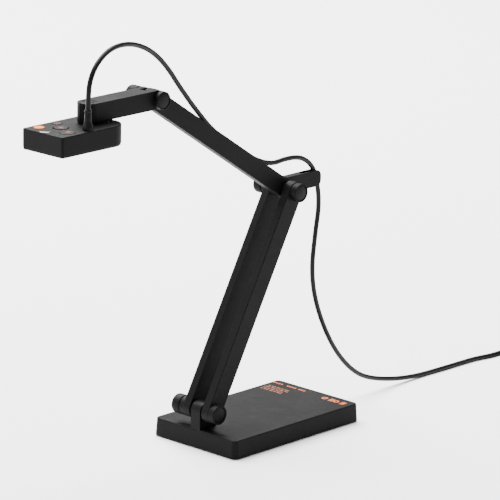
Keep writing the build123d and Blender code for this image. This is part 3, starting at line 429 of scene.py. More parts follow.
class Effects:
    """The shader groups that several finishes share, each built once."""

    def __init__(self) -> None:
        """Build every group."""
        self.grain = self._grain()
        self.edge = self._edge()
        self.dust = self._dust()

    @staticmethod
    def _group(
        name: str, inputs: dict[str, float], outputs: dict[str, str]
    ) -> tuple[Graph, bpy.types.NodeSocket, bpy.types.Node]:
        """An empty group with object coordinates ready.

        Args:
            name: The group's name.
            inputs: Its float inputs and their defaults.
            outputs: Its outputs and their socket types.

        Returns:
            The graph, the node of its inputs' outputs, and the node of its outputs.
        """
        tree = bpy.data.node_groups.new(name, "ShaderNodeTree")
        for key, value in inputs.items():
            socket = tree.interface.new_socket(key, in_out="INPUT", socket_type="NodeSocketFloat")
            socket.default_value = value
        for key, kind in outputs.items():
            tree.interface.new_socket(key, in_out="OUTPUT", socket_type=kind)
        graph = Graph(tree)
        return graph, graph.add("NodeGroupInput"), graph.add("NodeGroupOutput")

    def _grain(self) -> bpy.types.NodeTree:
        """Moulded or cast grain: a pebbled height, and a broad mottle for colour and gloss."""
        graph, given, result = self._group(
            "surface_grain",
            {"Size": 0.4, "Stretch": 1.0},
            {"Height": "NodeSocketFloat", "Mottle": "NodeSocketFloat"},
        )
        squeeze = graph.add("ShaderNodeCombineXYZ", X=given.outputs["Stretch"], Y=1.0, Z=1.0)
        place = graph.add("ShaderNodeVectorMath", {"operation": "MULTIPLY"})
        coordinates = graph.add("ShaderNodeTexCoord").outputs["Object"]
        graph.feed(place.inputs[0], coordinates)
        graph.feed(place.inputs[1], squeeze.outputs[0])
        scale = graph.sum("DIVIDE", 1000.0, given.outputs["Size"])
        pebble = graph.add(
            "ShaderNodeTexVoronoi", {"feature": "SMOOTH_F1"}, Vector=place.outputs[0], Scale=scale
        )
        fine = graph.add(
            "ShaderNodeTexNoise",
            Vector=place.outputs[0],
            Scale=graph.sum("MULTIPLY", scale, 1.9),
            Detail=3.0,
        )
        height = graph.sum(
            "ADD",
            graph.sum("MULTIPLY", pebble.outputs["Distance"], 0.7),
            graph.sum("MULTIPLY", fine.outputs["Fac"], 0.5),
        )
        broad = graph.add("ShaderNodeTexNoise", Vector=coordinates, Scale=55.0, Detail=4.0, Roughness=0.6)
        graph.feed(result.inputs["Height"], height)
        graph.feed(result.inputs["Mottle"], graph.span(broad.outputs["Fac"], 0.3, 0.7))
        return graph.tree

    def _edge(self) -> bpy.types.NodeTree:
        """Rubbed edges: how far the surface turns within a width, broken up by noise."""
        graph, given, result = self._group(
            "rubbed_edges", {"Width": 0.5, "Breaks": 0.5}, {"Mask": "NodeSocketFloat"}
        )
        radius = graph.sum("MULTIPLY", given.outputs["Width"], MM)
        rounded = graph.add("ShaderNodeBevel", {"samples": 4}, Radius=radius)
        turn = graph.add("ShaderNodeVectorMath", {"operation": "DOT_PRODUCT"})
        graph.feed(turn.inputs[0], rounded.outputs[0])
        graph.feed(turn.inputs[1], graph.add("ShaderNodeNewGeometry").outputs["Normal"])
        edge = graph.span(turn.outputs["Value"], 0.995, 0.9)
        place = graph.add("ShaderNodeTexCoord").outputs["Object"]
        noise = graph.add("ShaderNodeTexNoise", Vector=place, Scale=260.0, Detail=5.0)
        rub = graph.sum("SUBTRACT", noise.outputs["Fac"], graph.sum("MULTIPLY", given.outputs["Breaks"], 0.5))
        graph.feed(result.inputs["Mask"], graph.sum("MULTIPLY", edge, graph.span(rub, 0.1, 0.4)))
        return graph.tree

    def _dust(self) -> bpy.types.NodeTree:
        """Fine dust and faint smears on surfaces that face up."""
        graph, given, result = self._group(
            "settled_dust", {"Amount": 0.3}, {"Mask": "NodeSocketFloat", "Smear": "NodeSocketFloat"}
        )
        normal = graph.add(
            "ShaderNodeSeparateXYZ", Vector=graph.add("ShaderNodeNewGeometry").outputs["Normal"]
        )
        up = graph.span(normal.outputs["Z"], 0.55, 0.98)
        place = graph.add("ShaderNodeTexCoord").outputs["Object"]
        specks = graph.add("ShaderNodeTexNoise", Vector=place, Scale=900.0, Detail=2.0)
        cloud = graph.add(
            "ShaderNodeTexNoise", Vector=place, Scale=32.0, Detail=6.0, Roughness=0.65, Distortion=0.6
        )
        mask = graph.sum(
            "MULTIPLY",
            graph.span(specks.outputs["Fac"], 0.5, 0.75),
            graph.span(cloud.outputs["Fac"], 0.4, 0.7),
        )
        mask = graph.sum("MULTIPLY", mask, up)
        graph.feed(result.inputs["Mask"], graph.sum("MULTIPLY", mask, given.outputs["Amount"]))
        graph.feed(
            result.inputs["Smear"],
            graph.sum("MULTIPLY", graph.span(cloud.outputs["Fac"], 0.45, 0.62), up),
        )
        return graph.tree


class Workshop:
    """Makes materials: a Principled shader with its graph, and the shared effects in it."""

    def __init__(self) -> None:
        """Build the shared effects."""
        self.effects = Effects()

    def start(self, name: str, **constants: object) -> tuple[bpy.types.Material, Graph, bpy.types.Node]:
        """A new material with its Principled shader.

        Args:
            name: The material's name.
            constants: Socket values by name, with _ for a space.

        Returns:
            The material, its graph, and the shader node.
        """
        material = bpy.data.materials.new(name)
        material.use_nodes = True
        graph = Graph(material.node_tree)
        shader = next(node for node in graph.tree.nodes if node.type == "BSDF_PRINCIPLED")
        for key, value in constants.items():
            shader.inputs[key.replace("_", " ")].default_value = value
        return material, graph, shader

    def effect(self, graph: Graph, group: bpy.types.NodeTree, **values: float) -> bpy.types.Node:
        """Place a shared effect in a material.

        Args:
            graph: The material's graph.
            group: The effect's group.
            values: Its inputs.

        Returns:
            The group's node.
        """
        return graph.add("ShaderNodeGroup", {"node_tree": group}, **values)

    def bump(self, graph: Graph, shader: bpy.types.Node, height: object, depth: float) -> None:
        """Feed a height to the shader's normal.

        Args:
            graph: The material's graph.
            shader: The Principled node.
            height: The height's socket.
            depth: The depth of a full step, in millimetres.
        """
        node = graph.add("ShaderNodeBump", Strength=1.0, Distance=depth * MM, Height=height)
        graph.feed(shader.inputs["Normal"], node.outputs["Normal"])


@dataclass(frozen=True)
class MouldedPlastic:
    """Injection-moulded plastic: pebbled grain, rubbed edges, a little dust on top."""

    name: str
    colour: Colour
    roughness: float = 0.5
    specular: float = 0.45
    grain_mm: float = 0.42
    depth_mm: float = 0.016
    rub: float = 0.35
    dust: float = 0.25

    def make(self, shop: Workshop) -> bpy.types.Material:
        """Build the material.

        Args:
            shop: The maker of materials.

        Returns:
            The material.
        """
        material, graph, shader = shop.start(self.name, Specular_IOR_Level=self.specular)
        grain = shop.effect(graph, shop.effects.grain, Size=self.grain_mm)
        edge = shop.effect(graph, shop.effects.edge, Width=0.45)
        dust = shop.effect(graph, shop.effects.dust, Amount=self.dust)
        mottled = graph.blend(
            grain.outputs["Mottle"],
            shade(self.colour, 0.88),
            shade(self.colour, 1.12),
        )
        rubbed = graph.blend(
            graph.sum("MULTIPLY", edge.outputs["Mask"], self.rub),
            mottled,
            rgba(tuple(part * 2.2 + 0.02 for part in self.colour)),
        )
        dusty = graph.blend(dust.outputs["Mask"], rubbed, (0.42, 0.40, 0.37, 1))
        graph.feed(shader.inputs["Base Color"], dusty)
        gloss = graph.sum("MULTIPLY_ADD", grain.outputs["Mottle"], 0.06)
        gloss.node.inputs[2].default_value = self.roughness - 0.03
        gloss = graph.sum("SUBTRACT", gloss, graph.sum("MULTIPLY", edge.outputs["Mask"], 0.1))
        gloss = graph.sum("ADD", gloss, graph.sum("MULTIPLY", dust.outputs["Smear"], -0.05))
        graph.feed(shader.inputs["Roughness"], gloss)
        shop.bump(graph, shader, grain.outputs["Height"], self.depth_mm)
        return material


@dataclass(frozen=True)
class Metal:
    """Bare metal with a fine lay of machining marks and a little tarnish."""

    name: str
    colour: Colour
    roughness: float = 0.3
    stretch: float = 12.0

    def make(self, shop: Workshop) -> bpy.types.Material:
        """Build the material.

        Args:
            shop: The maker of materials.

        Returns:
            The material.
        """
        material, graph, shader = shop.start(self.name, Metallic=1.0)
        grain = shop.effect(graph, shop.effects.grain, Size=0.25, Stretch=self.stretch)
        tone = graph.blend(
            grain.outputs["Mottle"], shade(self.colour, 0.8), rgba(self.colour)
        )
        graph.feed(shader.inputs["Base Color"], tone)
        gloss = graph.span(grain.outputs["Height"], 0.2, 0.9, self.roughness - 0.06, self.roughness + 0.1)
        graph.feed(shader.inputs["Roughness"], gloss)
        shop.bump(graph, shader, grain.outputs["Height"], 0.006)
        return material


@dataclass(frozen=True)
class RubberPad:
    """Soft rubber with rows of small moulded squares that grip a table."""

    name: str
    colour: Colour
    pitch_mm: float = 2.4

    def make(self, shop: Workshop) -> bpy.types.Material:
        """Build the material.

        Args:
            shop: The maker of materials.

        Returns:
            The material.
        """
        material, graph, shader = shop.start(self.name, Specular_IOR_Level=0.3)
        grain = shop.effect(graph, shop.effects.grain, Size=0.3)
        tone = graph.blend(
            grain.outputs["Mottle"],
            shade(self.colour, 0.75),
            shade(self.colour, 1.3),
        )
        place = graph.add("ShaderNodeSeparateXYZ", Vector=graph.add("ShaderNodeTexCoord").outputs["Object"])
        waves = []
        for axis in ("X", "Y"):
            phase = graph.sum("MULTIPLY", place.outputs[axis], 1000.0 * math.pi / self.pitch_mm)
            waves.append(graph.span(graph.sum("ABSOLUTE", graph.sum("SINE", phase)), 0.12, 0.3))
        squares = graph.sum("MULTIPLY", waves[0], waves[1])
        graph.feed(shader.inputs["Base Color"], graph.blend(squares, shade(self.colour, 0.5), tone))
        graph.feed(shader.inputs["Roughness"], graph.span(squares, 0.0, 1.0, 0.85, 0.68))
        height = graph.sum("ADD", graph.sum("MULTIPLY", squares, 6.0), grain.outputs["Height"])
        shop.bump(graph, shader, height, 0.03)
        return material


@dataclass(frozen=True)
class CordVinyl:
    """The cord's flexible jacket: satin, with faint drawn lines and handling marks."""

    name: str
    colour: Colour
    roughness: float = 0.42

    def make(self, shop: Workshop) -> bpy.types.Material:
        """Build the material.

        Args:
            shop: The maker of materials.

        Returns:
            The material.
        """
        material, graph, shader = shop.start(self.name, Specular_IOR_Level=0.14)
        grain = shop.effect(graph, shop.effects.grain, Size=0.22)
        tone = graph.blend(
            grain.outputs["Mottle"],
            shade(self.colour, 0.8),
            shade(self.colour, 1.25),
        )
        graph.feed(shader.inputs["Base Color"], tone)
        gloss = graph.span(grain.outputs["Mottle"], 0.0, 1.0, self.roughness - 0.05, self.roughness + 0.1)
        graph.feed(shader.inputs["Roughness"], gloss)
        shop.bump(graph, shader, grain.outputs["Height"], 0.009)
        return material


@dataclass(frozen=True)
class PrintInk:
    """Pad-printed ink: flat, a little uneven, thin at its edges."""

    name: str
    colour: Colour
    roughness: float = 0.45

    def make(self, shop: Workshop) -> bpy.types.Material:
        """Build the material.

        Args:
            shop: The maker of materials.

        Returns:
            The material.
        """
        material, graph, shader = shop.start(self.name, Specular_IOR_Level=0.4)
        grain = shop.effect(graph, shop.effects.grain, Size=0.3)
        thin = graph.span(grain.outputs["Height"], 0.35, 0.9)
        tone = graph.blend(thin, shade(self.colour, 0.8), rgba(self.colour))
        graph.feed(shader.inputs["Base Color"], tone)
        graph.feed(
            shader.inputs["Roughness"],
            graph.span(thin, 0.0, 1.0, self.roughness + 0.12, self.roughness),
        )
        shop.bump(graph, shader, grain.outputs["Height"], 0.006)
        return material


@dataclass(frozen=True)
class LensGlass:
    """Clear coated glass with a trace of dust on it."""

    name: str
    tint: Colour
    clear: float = 1.0

    def make(self, shop: Workshop) -> bpy.types.Material:
        """Build the material.

        Args:
            shop: The maker of materials.

        Returns:
            The material.
        """
        material, graph, shader = shop.start(
            self.name,
            Metallic=0.0,
            Transmission_Weight=self.clear,
            IOR=1.5,
            Coat_Weight=0.3,
            Coat_Roughness=0.03,
        )
        grain = shop.effect(graph, shop.effects.grain, Size=1.2)
        tone = graph.blend(
            grain.outputs["Mottle"], rgba(tuple(0.92 * part for part in self.tint)), rgba(self.tint)
        )
        graph.feed(shader.inputs["Base Color"], tone)
        graph.feed(shader.inputs["Roughness"], graph.span(grain.outputs["Mottle"], 0.0, 1.0, 0.02, 0.07))
        return material


@dataclass(frozen=True)
class LoopTape:
    """Hook-and-loop tape: a close nap of tiny loops in woven rows."""

    name: str
    colour: Colour

    def make(self, shop: Workshop) -> bpy.types.Material:
        """Build the material.

        Args:
            shop: The maker of materials.

        Returns:
            The material.
        """
        material, graph, shader = shop.start(
            self.name, Specular_IOR_Level=0.2, Sheen_Weight=0.6, Sheen_Roughness=0.5
        )
        place = graph.add("ShaderNodeTexCoord").outputs["Object"]
        nap = graph.add("ShaderNodeTexVoronoi", {"feature": "F1"}, Vector=place, Scale=2600.0)
        row = graph.add("ShaderNodeTexWave", Vector=place, Scale=320.0, Distortion=1.5, Detail=2.0)
        height = graph.sum("ADD", nap.outputs["Distance"], graph.sum("MULTIPLY", row.outputs["Fac"], 0.4))
        tone = graph.blend(
            height, shade(self.colour, 0.5), shade(self.colour, 1.6)
        )
        graph.feed(shader.inputs["Base Color"], tone)
        graph.feed(shader.inputs["Roughness"], graph.span(height, 0.0, 1.0, 0.95, 0.75))
        shop.bump(graph, shader, height, 0.12)
        return material


@dataclass(frozen=True)
class BoardResin:
    """A circuit board's solder mask, with fine tracks under it."""

    name: str
    mask: Colour
    track: Colour

    def make(self, shop: Workshop) -> bpy.types.Material:
        """Build the material.

        Args:
            shop: The maker of materials.

        Returns:
            The material.
        """
        material, graph, shader = shop.start(self.name, Coat_Weight=0.4, Coat_Roughness=0.2)
        place = graph.add("ShaderNodeTexCoord").outputs["Object"]
        cells = graph.add(
            "ShaderNodeTexVoronoi", {"feature": "DISTANCE_TO_EDGE"}, Vector=place, Scale=420.0
        )
        tracks = graph.span(cells.outputs["Distance"], 0.03, 0.07, 1.0, 0.0)
        graph.feed(shader.inputs["Base Color"], graph.blend(tracks, rgba(self.mask), rgba(self.track)))
        graph.feed(shader.inputs["Roughness"], graph.span(tracks, 0.0, 1.0, 0.4, 0.3))
        shop.bump(graph, shader, tracks, 0.03)
        return material


class Finishes:
    """Every finish on the object, and which CAD nodes wear which."""

    SHELL_NODES = (
        "base_shell", "lower_arm_near_bar", "lower_arm_far_bar", "upper_arm",
        "head_arm_near_shell", "head_arm_far_shell", "head_top_cover",
    )
    COVER_NODES = (
        "base_plate", "head_bottom_cover", "lens_holder", "lens_barrel", "swivel_bush",
    )
    STEEL_NODES = (
        "base_weight", "base_screws", "base_hinge_pin", "elbow_pin", "wrist_pin",
        "head_arm_screws", "head_screws", "swivel_post", "swivel_washer", "swivel_screw",
    )
    BRASS_NODES = ("base_hinge_bush", "elbow_bush", "wrist_bush")
    NYLON_NODES = ("base_hinge_washers", "elbow_washers", "wrist_washers")
    CHIP_NODES = ("image_sensor", "button_switches", "microphone")

    def __init__(self) -> None:
        """Make every material."""
        shop = Workshop()
        self.shell = MouldedPlastic(
            "shell_black", (0.0036, 0.0036, 0.0038), 0.54, 0.06, 0.42, 0.012, 0.08, 0.03
        ).make(shop)
        self.cover = MouldedPlastic(
            "cover_black", (0.0024, 0.0024, 0.0026), 0.46, 0.08, 0.3, 0.006, 0.08, 0.03
        ).make(shop)
        self.button = MouldedPlastic(
            "button_black", (0.003, 0.003, 0.0032), 0.46, 0.08, 0.25, 0.005, 0.1, 0.06
        ).make(shop)
        self.orange = MouldedPlastic(
            "button_orange", (0.75, 0.17, 0.0), 0.45, 0.12, 0.25, 0.004, 0.1, 0.05
        ).make(shop)
        self.nylon = MouldedPlastic(
            "washer_nylon", (0.006, 0.006, 0.006), 0.4, 0.2, 0.3, 0.006, 0.1, 0.0
        ).make(shop)
        self.chip = MouldedPlastic(
            "chip_resin", (0.012, 0.012, 0.013), 0.45, 0.5, 0.2, 0.004, 0.1, 0.0
        ).make(shop)
        self.tongue = MouldedPlastic(
            "plug_tongue", (0.78, 0.78, 0.76), 0.4, 0.5, 0.2, 0.003, 0.1, 0.0
        ).make(shop)
        self.grip = MouldedPlastic(
            "plug_black", (0.008, 0.008, 0.0085), 0.5, 0.35, 0.5, 0.02, 0.3, 0.1
        ).make(shop)
        self.steel = Metal("steel_bright", (0.60, 0.60, 0.61)).make(shop)
        self.brass = Metal("brass_sintered", (0.72, 0.52, 0.24), 0.38, 2.0).make(shop)
        self.gold = Metal("contact_gold", (0.86, 0.62, 0.24), 0.25, 3.0).make(shop)
        self.rubber = RubberPad("pad_rubber_black", (0.012, 0.012, 0.012)).make(shop)
        self.jacket = CordVinyl("cord_vinyl_black", (0.0028, 0.0028, 0.003)).make(shop)
        self.ink = PrintInk("print_orange", (0.55, 0.10, 0.0)).make(shop)
        self.faint_ink = PrintInk("print_orange_faint", (0.22, 0.045, 0.004)).make(shop)
        self.white_ink = PrintInk("print_white", (0.80, 0.80, 0.80)).make(shop)
        self.glass = LensGlass("lens_coated", (0.86, 0.92, 0.97)).make(shop)
        self.diffuser = LensGlass("lamp_diffuser", (0.95, 0.94, 0.90), 0.5).make(shop)
        self.tape = LoopTape("loop_tape_black", (0.012, 0.012, 0.013)).make(shop)
        self.board = BoardResin("board_green", (0.015, 0.12, 0.05), (0.05, 0.22, 0.09)).make(shop)
        self.lamp = PrintInk("lamp_phosphor", (0.92, 0.74, 0.18), 0.3).make(shop)

    def dress(self) -> None:
        """Give every CAD node that stays its material."""
        wearing = (
            (self.SHELL_NODES, self.shell),
            (self.COVER_NODES, self.cover),
            (self.STEEL_NODES, self.steel),
            (self.BRASS_NODES, self.brass),
            (self.NYLON_NODES, self.nylon),
            (self.CHIP_NODES, self.chip),
            (("main_board",), self.board),
            (("lamp_chip",), self.lamp),
            (("light_pipe",), self.diffuser),
            (("lens_glass", "lens_window"), self.glass),
            (("base_pad",), self.rubber),
        )
        for nodes, material in wearing:
            for name in nodes:
                paint(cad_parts[name], material)
                log.info("CAD node %s wears %s", name, material.name)


def paint(piece: bpy.types.Object, material: bpy.types.Material) -> None:
    """Give a whole piece one material.

    Args:
        piece: The mesh or curve object.
        material: What it wears.
    """
    if not piece.material_slots:
        piece.data.materials.append(material)
    for place in piece.material_slots:
        place.material = material


def mount(
    piece: bpy.types.Object, body: Body | str, material: bpy.types.Material, slot: Slot, *nodes: str
) -> bpy.types.Object:
    """Finish a piece: its material, its body, and the CAD nodes that it stands for, which are hidden.

    Args:
        piece: The finished mesh or curve, at the origin.
        body: The body that it rides on.
        material: What it wears.
        slot: The material slot; not used.
        nodes: The CAD nodes that it replaces.

    Returns:
        The piece.
    """
    paint(piece, material)
    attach(piece, body.value if isinstance(body, Body) else body)
    if nodes:
        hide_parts(*nodes)
    log.info("%s rides on %s", piece.name, body)
    return piece


# ---- the cord -----------------------------------------------------------------------------
# The same control points as the part's own route, in metres.
LOOP_ROUTE: tuple[Point, ...] = (
    (-0.1682, -0.0134, 0.2386),
    (-0.1682, -0.0134, 0.2496),
    (-0.1666, -0.0132, 0.2602),
    (-0.1596, -0.0122, 0.2697),
    (-0.1466, -0.0102, 0.2762),
    (-0.1304, -0.0076, 0.2765),
    (-0.1144, -0.0051, 0.2723),
    (-0.1002, -0.0032, 0.2645),
    (-0.088, -0.0018, 0.2536),
    (-0.0765, -0.0008, 0.2398),
    (-0.0615, -0.0001, 0.2232),
    (-0.0435, 0, 0.2047),
    (-0.02775, 0, 0.1945),
)
ARM_ROUTE: tuple[Point, ...] = (
    (-0.02775, 0, 0.1945),
    (-0.012, 0, 0.1843),
    (0.008, 0, 0.176),
    (0.023, 0, 0.1776),
    (0.0365, 0, 0.1764),
    (0.0466, 0, 0.1704),
    (0.0524, 0, 0.1608),
    (0.0542, 0, 0.1514),
)
DROP_ROUTE: tuple[Point, ...] = (
    (0.0542, 0, 0.1514),
    (0.056, 0, 0.142),
    (0.0524, 0, 0.122),
    (0.0494, 0, 0.096),
    (0.0554, 0, 0.071),
    (0.071, 0, 0.0419),
    (0.09, 0, 0.0212),
    (0.11, 0, 0.0099),
    (0.15, 0.0002, 0.0016),
    (0.171, -0.0005, 0.0016),
)
FLOOR_ROUTE: tuple[Point, ...] = (
    (0.171, -0.0005, 0.0016),
    (0.192, -0.0012, 0.0016),
    (0.218, -0.0012, 0.0016),
    (0.233, -0.0046, 0.0016),
    (0.244, -0.0046, 0.0016),
)
END_ROUTE: tuple[Point, ...] = (
    (0.2839, -0.0385, 0.0056),
    (0.2839, -0.0485, 0.0036),
    (0.2830, -0.0570, 0.0016),
    (0.2784, -0.0642, 0.0024),
    (0.2689, -0.0690, 0.0040),
    (0.2579, -0.0690, 0.0040),
)


@dataclass
class Coil:
    """The spare cord, wound flat in two layers: inwards below, outwards above."""

    centre: tuple[float, float] = (0.2585, -0.0300)
    outer: float = 0.0254
    lanes: int = 5
    steps: int = 12
    turns: int = 9
    lift: float = 0.0008

    def points(self) -> list[Point]:
        """The coil's control points, clockwise from its +Y side to its +X side.

        Returns:
            The points, twelve for each turn.
        """
        swell = 1 / math.cos(math.pi / self.steps)
        inner = self.outer - (self.lanes - 1) * CORD_DIAMETER
        found = []
        for index in range(self.turns * self.steps + 3):
            turn, part = divmod(index + 0.5, self.steps)
            lane = turn + min(max((part - self.steps + 3.5) / 3.0, 0.0), 1.0)
            climb = min(max(lane - (self.lanes - 1), 0.0), 1.0)
            inwards = min(lane, self.lanes - 1.0)
            outwards = max(lane - self.lanes, 0.0)
            radius = (self.outer - (inwards - outwards) * CORD_DIAMETER) * swell
            radius = max(radius, inner * swell)
            angle = math.radians(90 - 360 * (index + 0.5) / self.steps)
            found.append(
                (
                    self.centre[0] + radius * math.cos(angle),
                    self.centre[1] + radius * math.sin(angle),
                    CORD_RADIUS + self.lift + climb * CORD_DIAMETER,
                )
            )
        return found


@dataclass
class CordSet:
    """The captive cord: loop, run along the arm, drop, run along the desk, coil and plug end."""

    finishes: Finishes
    split_over_arm: Point = (-0.1304, -0.0076, 0.2765)
    split_in_drop: Point = (0.0500, 0.0, 0.0900)
    ring_sides: int = 16

    def spline(self, name: str, route: Sequence[Point], thick: bool) -> bpy.types.Object:
        """A NURBS line with the route's points as its control points.

        Args:
            name: The object's name.
            route: The control points, in metres.
            thick: True for a cord, False for its bare line.

        Returns:
            The curve object.
        """
        curve = bpy.data.curves.new(name, "CURVE")
        curve.dimensions = "3D"
        curve.resolution_u = 8
        if thick:
            curve.bevel_depth = CORD_RADIUS
            curve.bevel_resolution = 4
            curve.use_fill_caps = True
        line = curve.splines.new("NURBS")
        line.points.add(len(route) - 1)
        for point, place in zip(line.points, route):
            point.co = (*place, 1.0)
        line.order_u = 3
        line.use_endpoint_u = True
        piece = bpy.data.objects.new(name, curve)
        bpy.context.collection.objects.link(piece)
        return piece

    def centreline(self, route: Sequence[Point]) -> list[Vector]:
        """The points that a route's NURBS line goes through.

        Args:
            route: The control points.

        Returns:
            The points, in order.
        """
        bare = self.spline("cord_line", route, thick=False)
        bpy.context.view_layer.update()
        graph = bpy.context.evaluated_depsgraph_get()
        mesh = bpy.data.meshes.new_from_object(bare.evaluated_get(graph))
        line = [vertex.co.copy() for vertex in mesh.vertices]
        bpy.data.meshes.remove(mesh)
        bpy.data.objects.remove(bare)
        return line

    def tube(self, name: str, line: Sequence[Vector]) -> bpy.types.Object:
        """A closed tube along a line, for a stretch of cord between two bodies.

        Args:
            name: The piece's name.
            line: The centreline's points.

        Returns:
            The mesh object.
        """
        vertices: list[Vector] = []
        tangent = (line[1] - line[0]).normalized()
        side = tangent.orthogonal().normalized()
        for index, point in enumerate(line):
            ahead = line[min(index + 1, len(line) - 1)]
            behind = line[max(index - 1, 0)]
            turned_to = (ahead - behind).normalized()
            side = (tangent.rotation_difference(turned_to) @ side).normalized()
            tangent = turned_to
            across = tangent.cross(side)
            for step in range(self.ring_sides):
                angle = 2 * math.pi * step / self.ring_sides
                offset = side * math.cos(angle) + across * math.sin(angle)
                vertices.append(point + offset * CORD_RADIUS)
        faces = [tuple(range(self.ring_sides))[::-1]]
        for ring in range(len(line) - 1):
            start = ring * self.ring_sides
            for step in range(self.ring_sides):
                following = (step + 1) % self.ring_sides
                faces.append(
                    (
                        start + step,
                        start + following,
                        start + self.ring_sides + following,
                        start + self.ring_sides + step,
                    )
                )
        last = (len(line) - 1) * self.ring_sides
        faces.append(tuple(range(last, last + self.ring_sides)))
        mesh = bpy.data.meshes.new(name)
        mesh.from_pydata(vertices, [], faces)
        piece = bpy.data.objects.new(name, mesh)
        bpy.context.collection.objects.link(piece)
        activate(piece)
        bpy.ops.object.shade_smooth_by_angle(angle=math.radians(60))
        return piece

    @staticmethod
    def measured(line: Sequence[Vector]) -> float:
        """The length of a line, in metres to the millimetre."""
        return round(sum((b - a).length for a, b in zip(line, line[1:])), 3)

    def bending(
        self, name: str, line: Sequence[Vector], bodies: tuple[Body, Body], node: str
    ) -> bpy.types.Object:
        """A stretch of cord from one body to the next, as one fixed tube.

        Args:
            name: The piece's name.
            line: Its centreline.
            bodies: The bodies at its start and its end.
            node: The CAD node that it stands for.

        Returns:
            The piece.
        """
        piece = self.tube(name, line)
        paint(piece, self.finishes.jacket)
        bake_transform(piece)
        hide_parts(node)
        log.info("%s bends between %s and %s, %.3f m", name, *bodies, self.measured(line))
        return piece

    def parted(self, route: Sequence[Point], at: Point) -> tuple[list[Vector], list[Vector]]:
        """A route's line, cut in two at its nearest point to a place.

        Args:
            route: The control points.
            at: The place of the cut.

        Returns:
            The two lines, which share the point of the cut.
        """
        line = self.centreline(route)
        cut = min(range(len(line)), key=lambda index: (line[index] - Vector(at)).length)
        return line[: cut + 1], line[cut:]

    def build(self, along: Sequence[bpy.types.Object]) -> None:
        """Make and place every stretch.

        Args:
            along: The separate pieces on the desk stretch: tie, plug and its contacts; not used.
        """
        first, second = self.parted(LOOP_ROUTE, self.split_over_arm)
        self.bending("cord_loop_front", first, (Body.HEAD, Body.HEAD_ARM), "cord_loop")
        self.bending("cord_loop_rear", second, (Body.HEAD_ARM, Body.UPPER_ARM), "cord_loop")

        run = self.spline("cord_along_arm", ARM_ROUTE, thick=True)
        mount(run, Body.UPPER_ARM, self.finishes.jacket, Slot.JACKET, "cord_arm_run")
        self.measured(self.centreline(ARM_ROUTE))

        first, second = self.parted(DROP_ROUTE, self.split_in_drop)
        self.bending("cord_drop_upper", first, (Body.UPPER_ARM, Body.LOWER_ARM), "cord_drop")
        self.bending("cord_drop_lower", second, (Body.LOWER_ARM, Body.BASE), "cord_drop")

        route = (*FLOOR_ROUTE, *Coil().points(), *END_ROUTE)
        lead = self.spline("cord_on_desk", route, thick=True)
        nodes = ("cord_floor", "cord_coil", "cord_end")
        mount(lead, Body.BASE, self.finishes.jacket, Slot.JACKET, *nodes)
        self.measured(self.centreline(route))


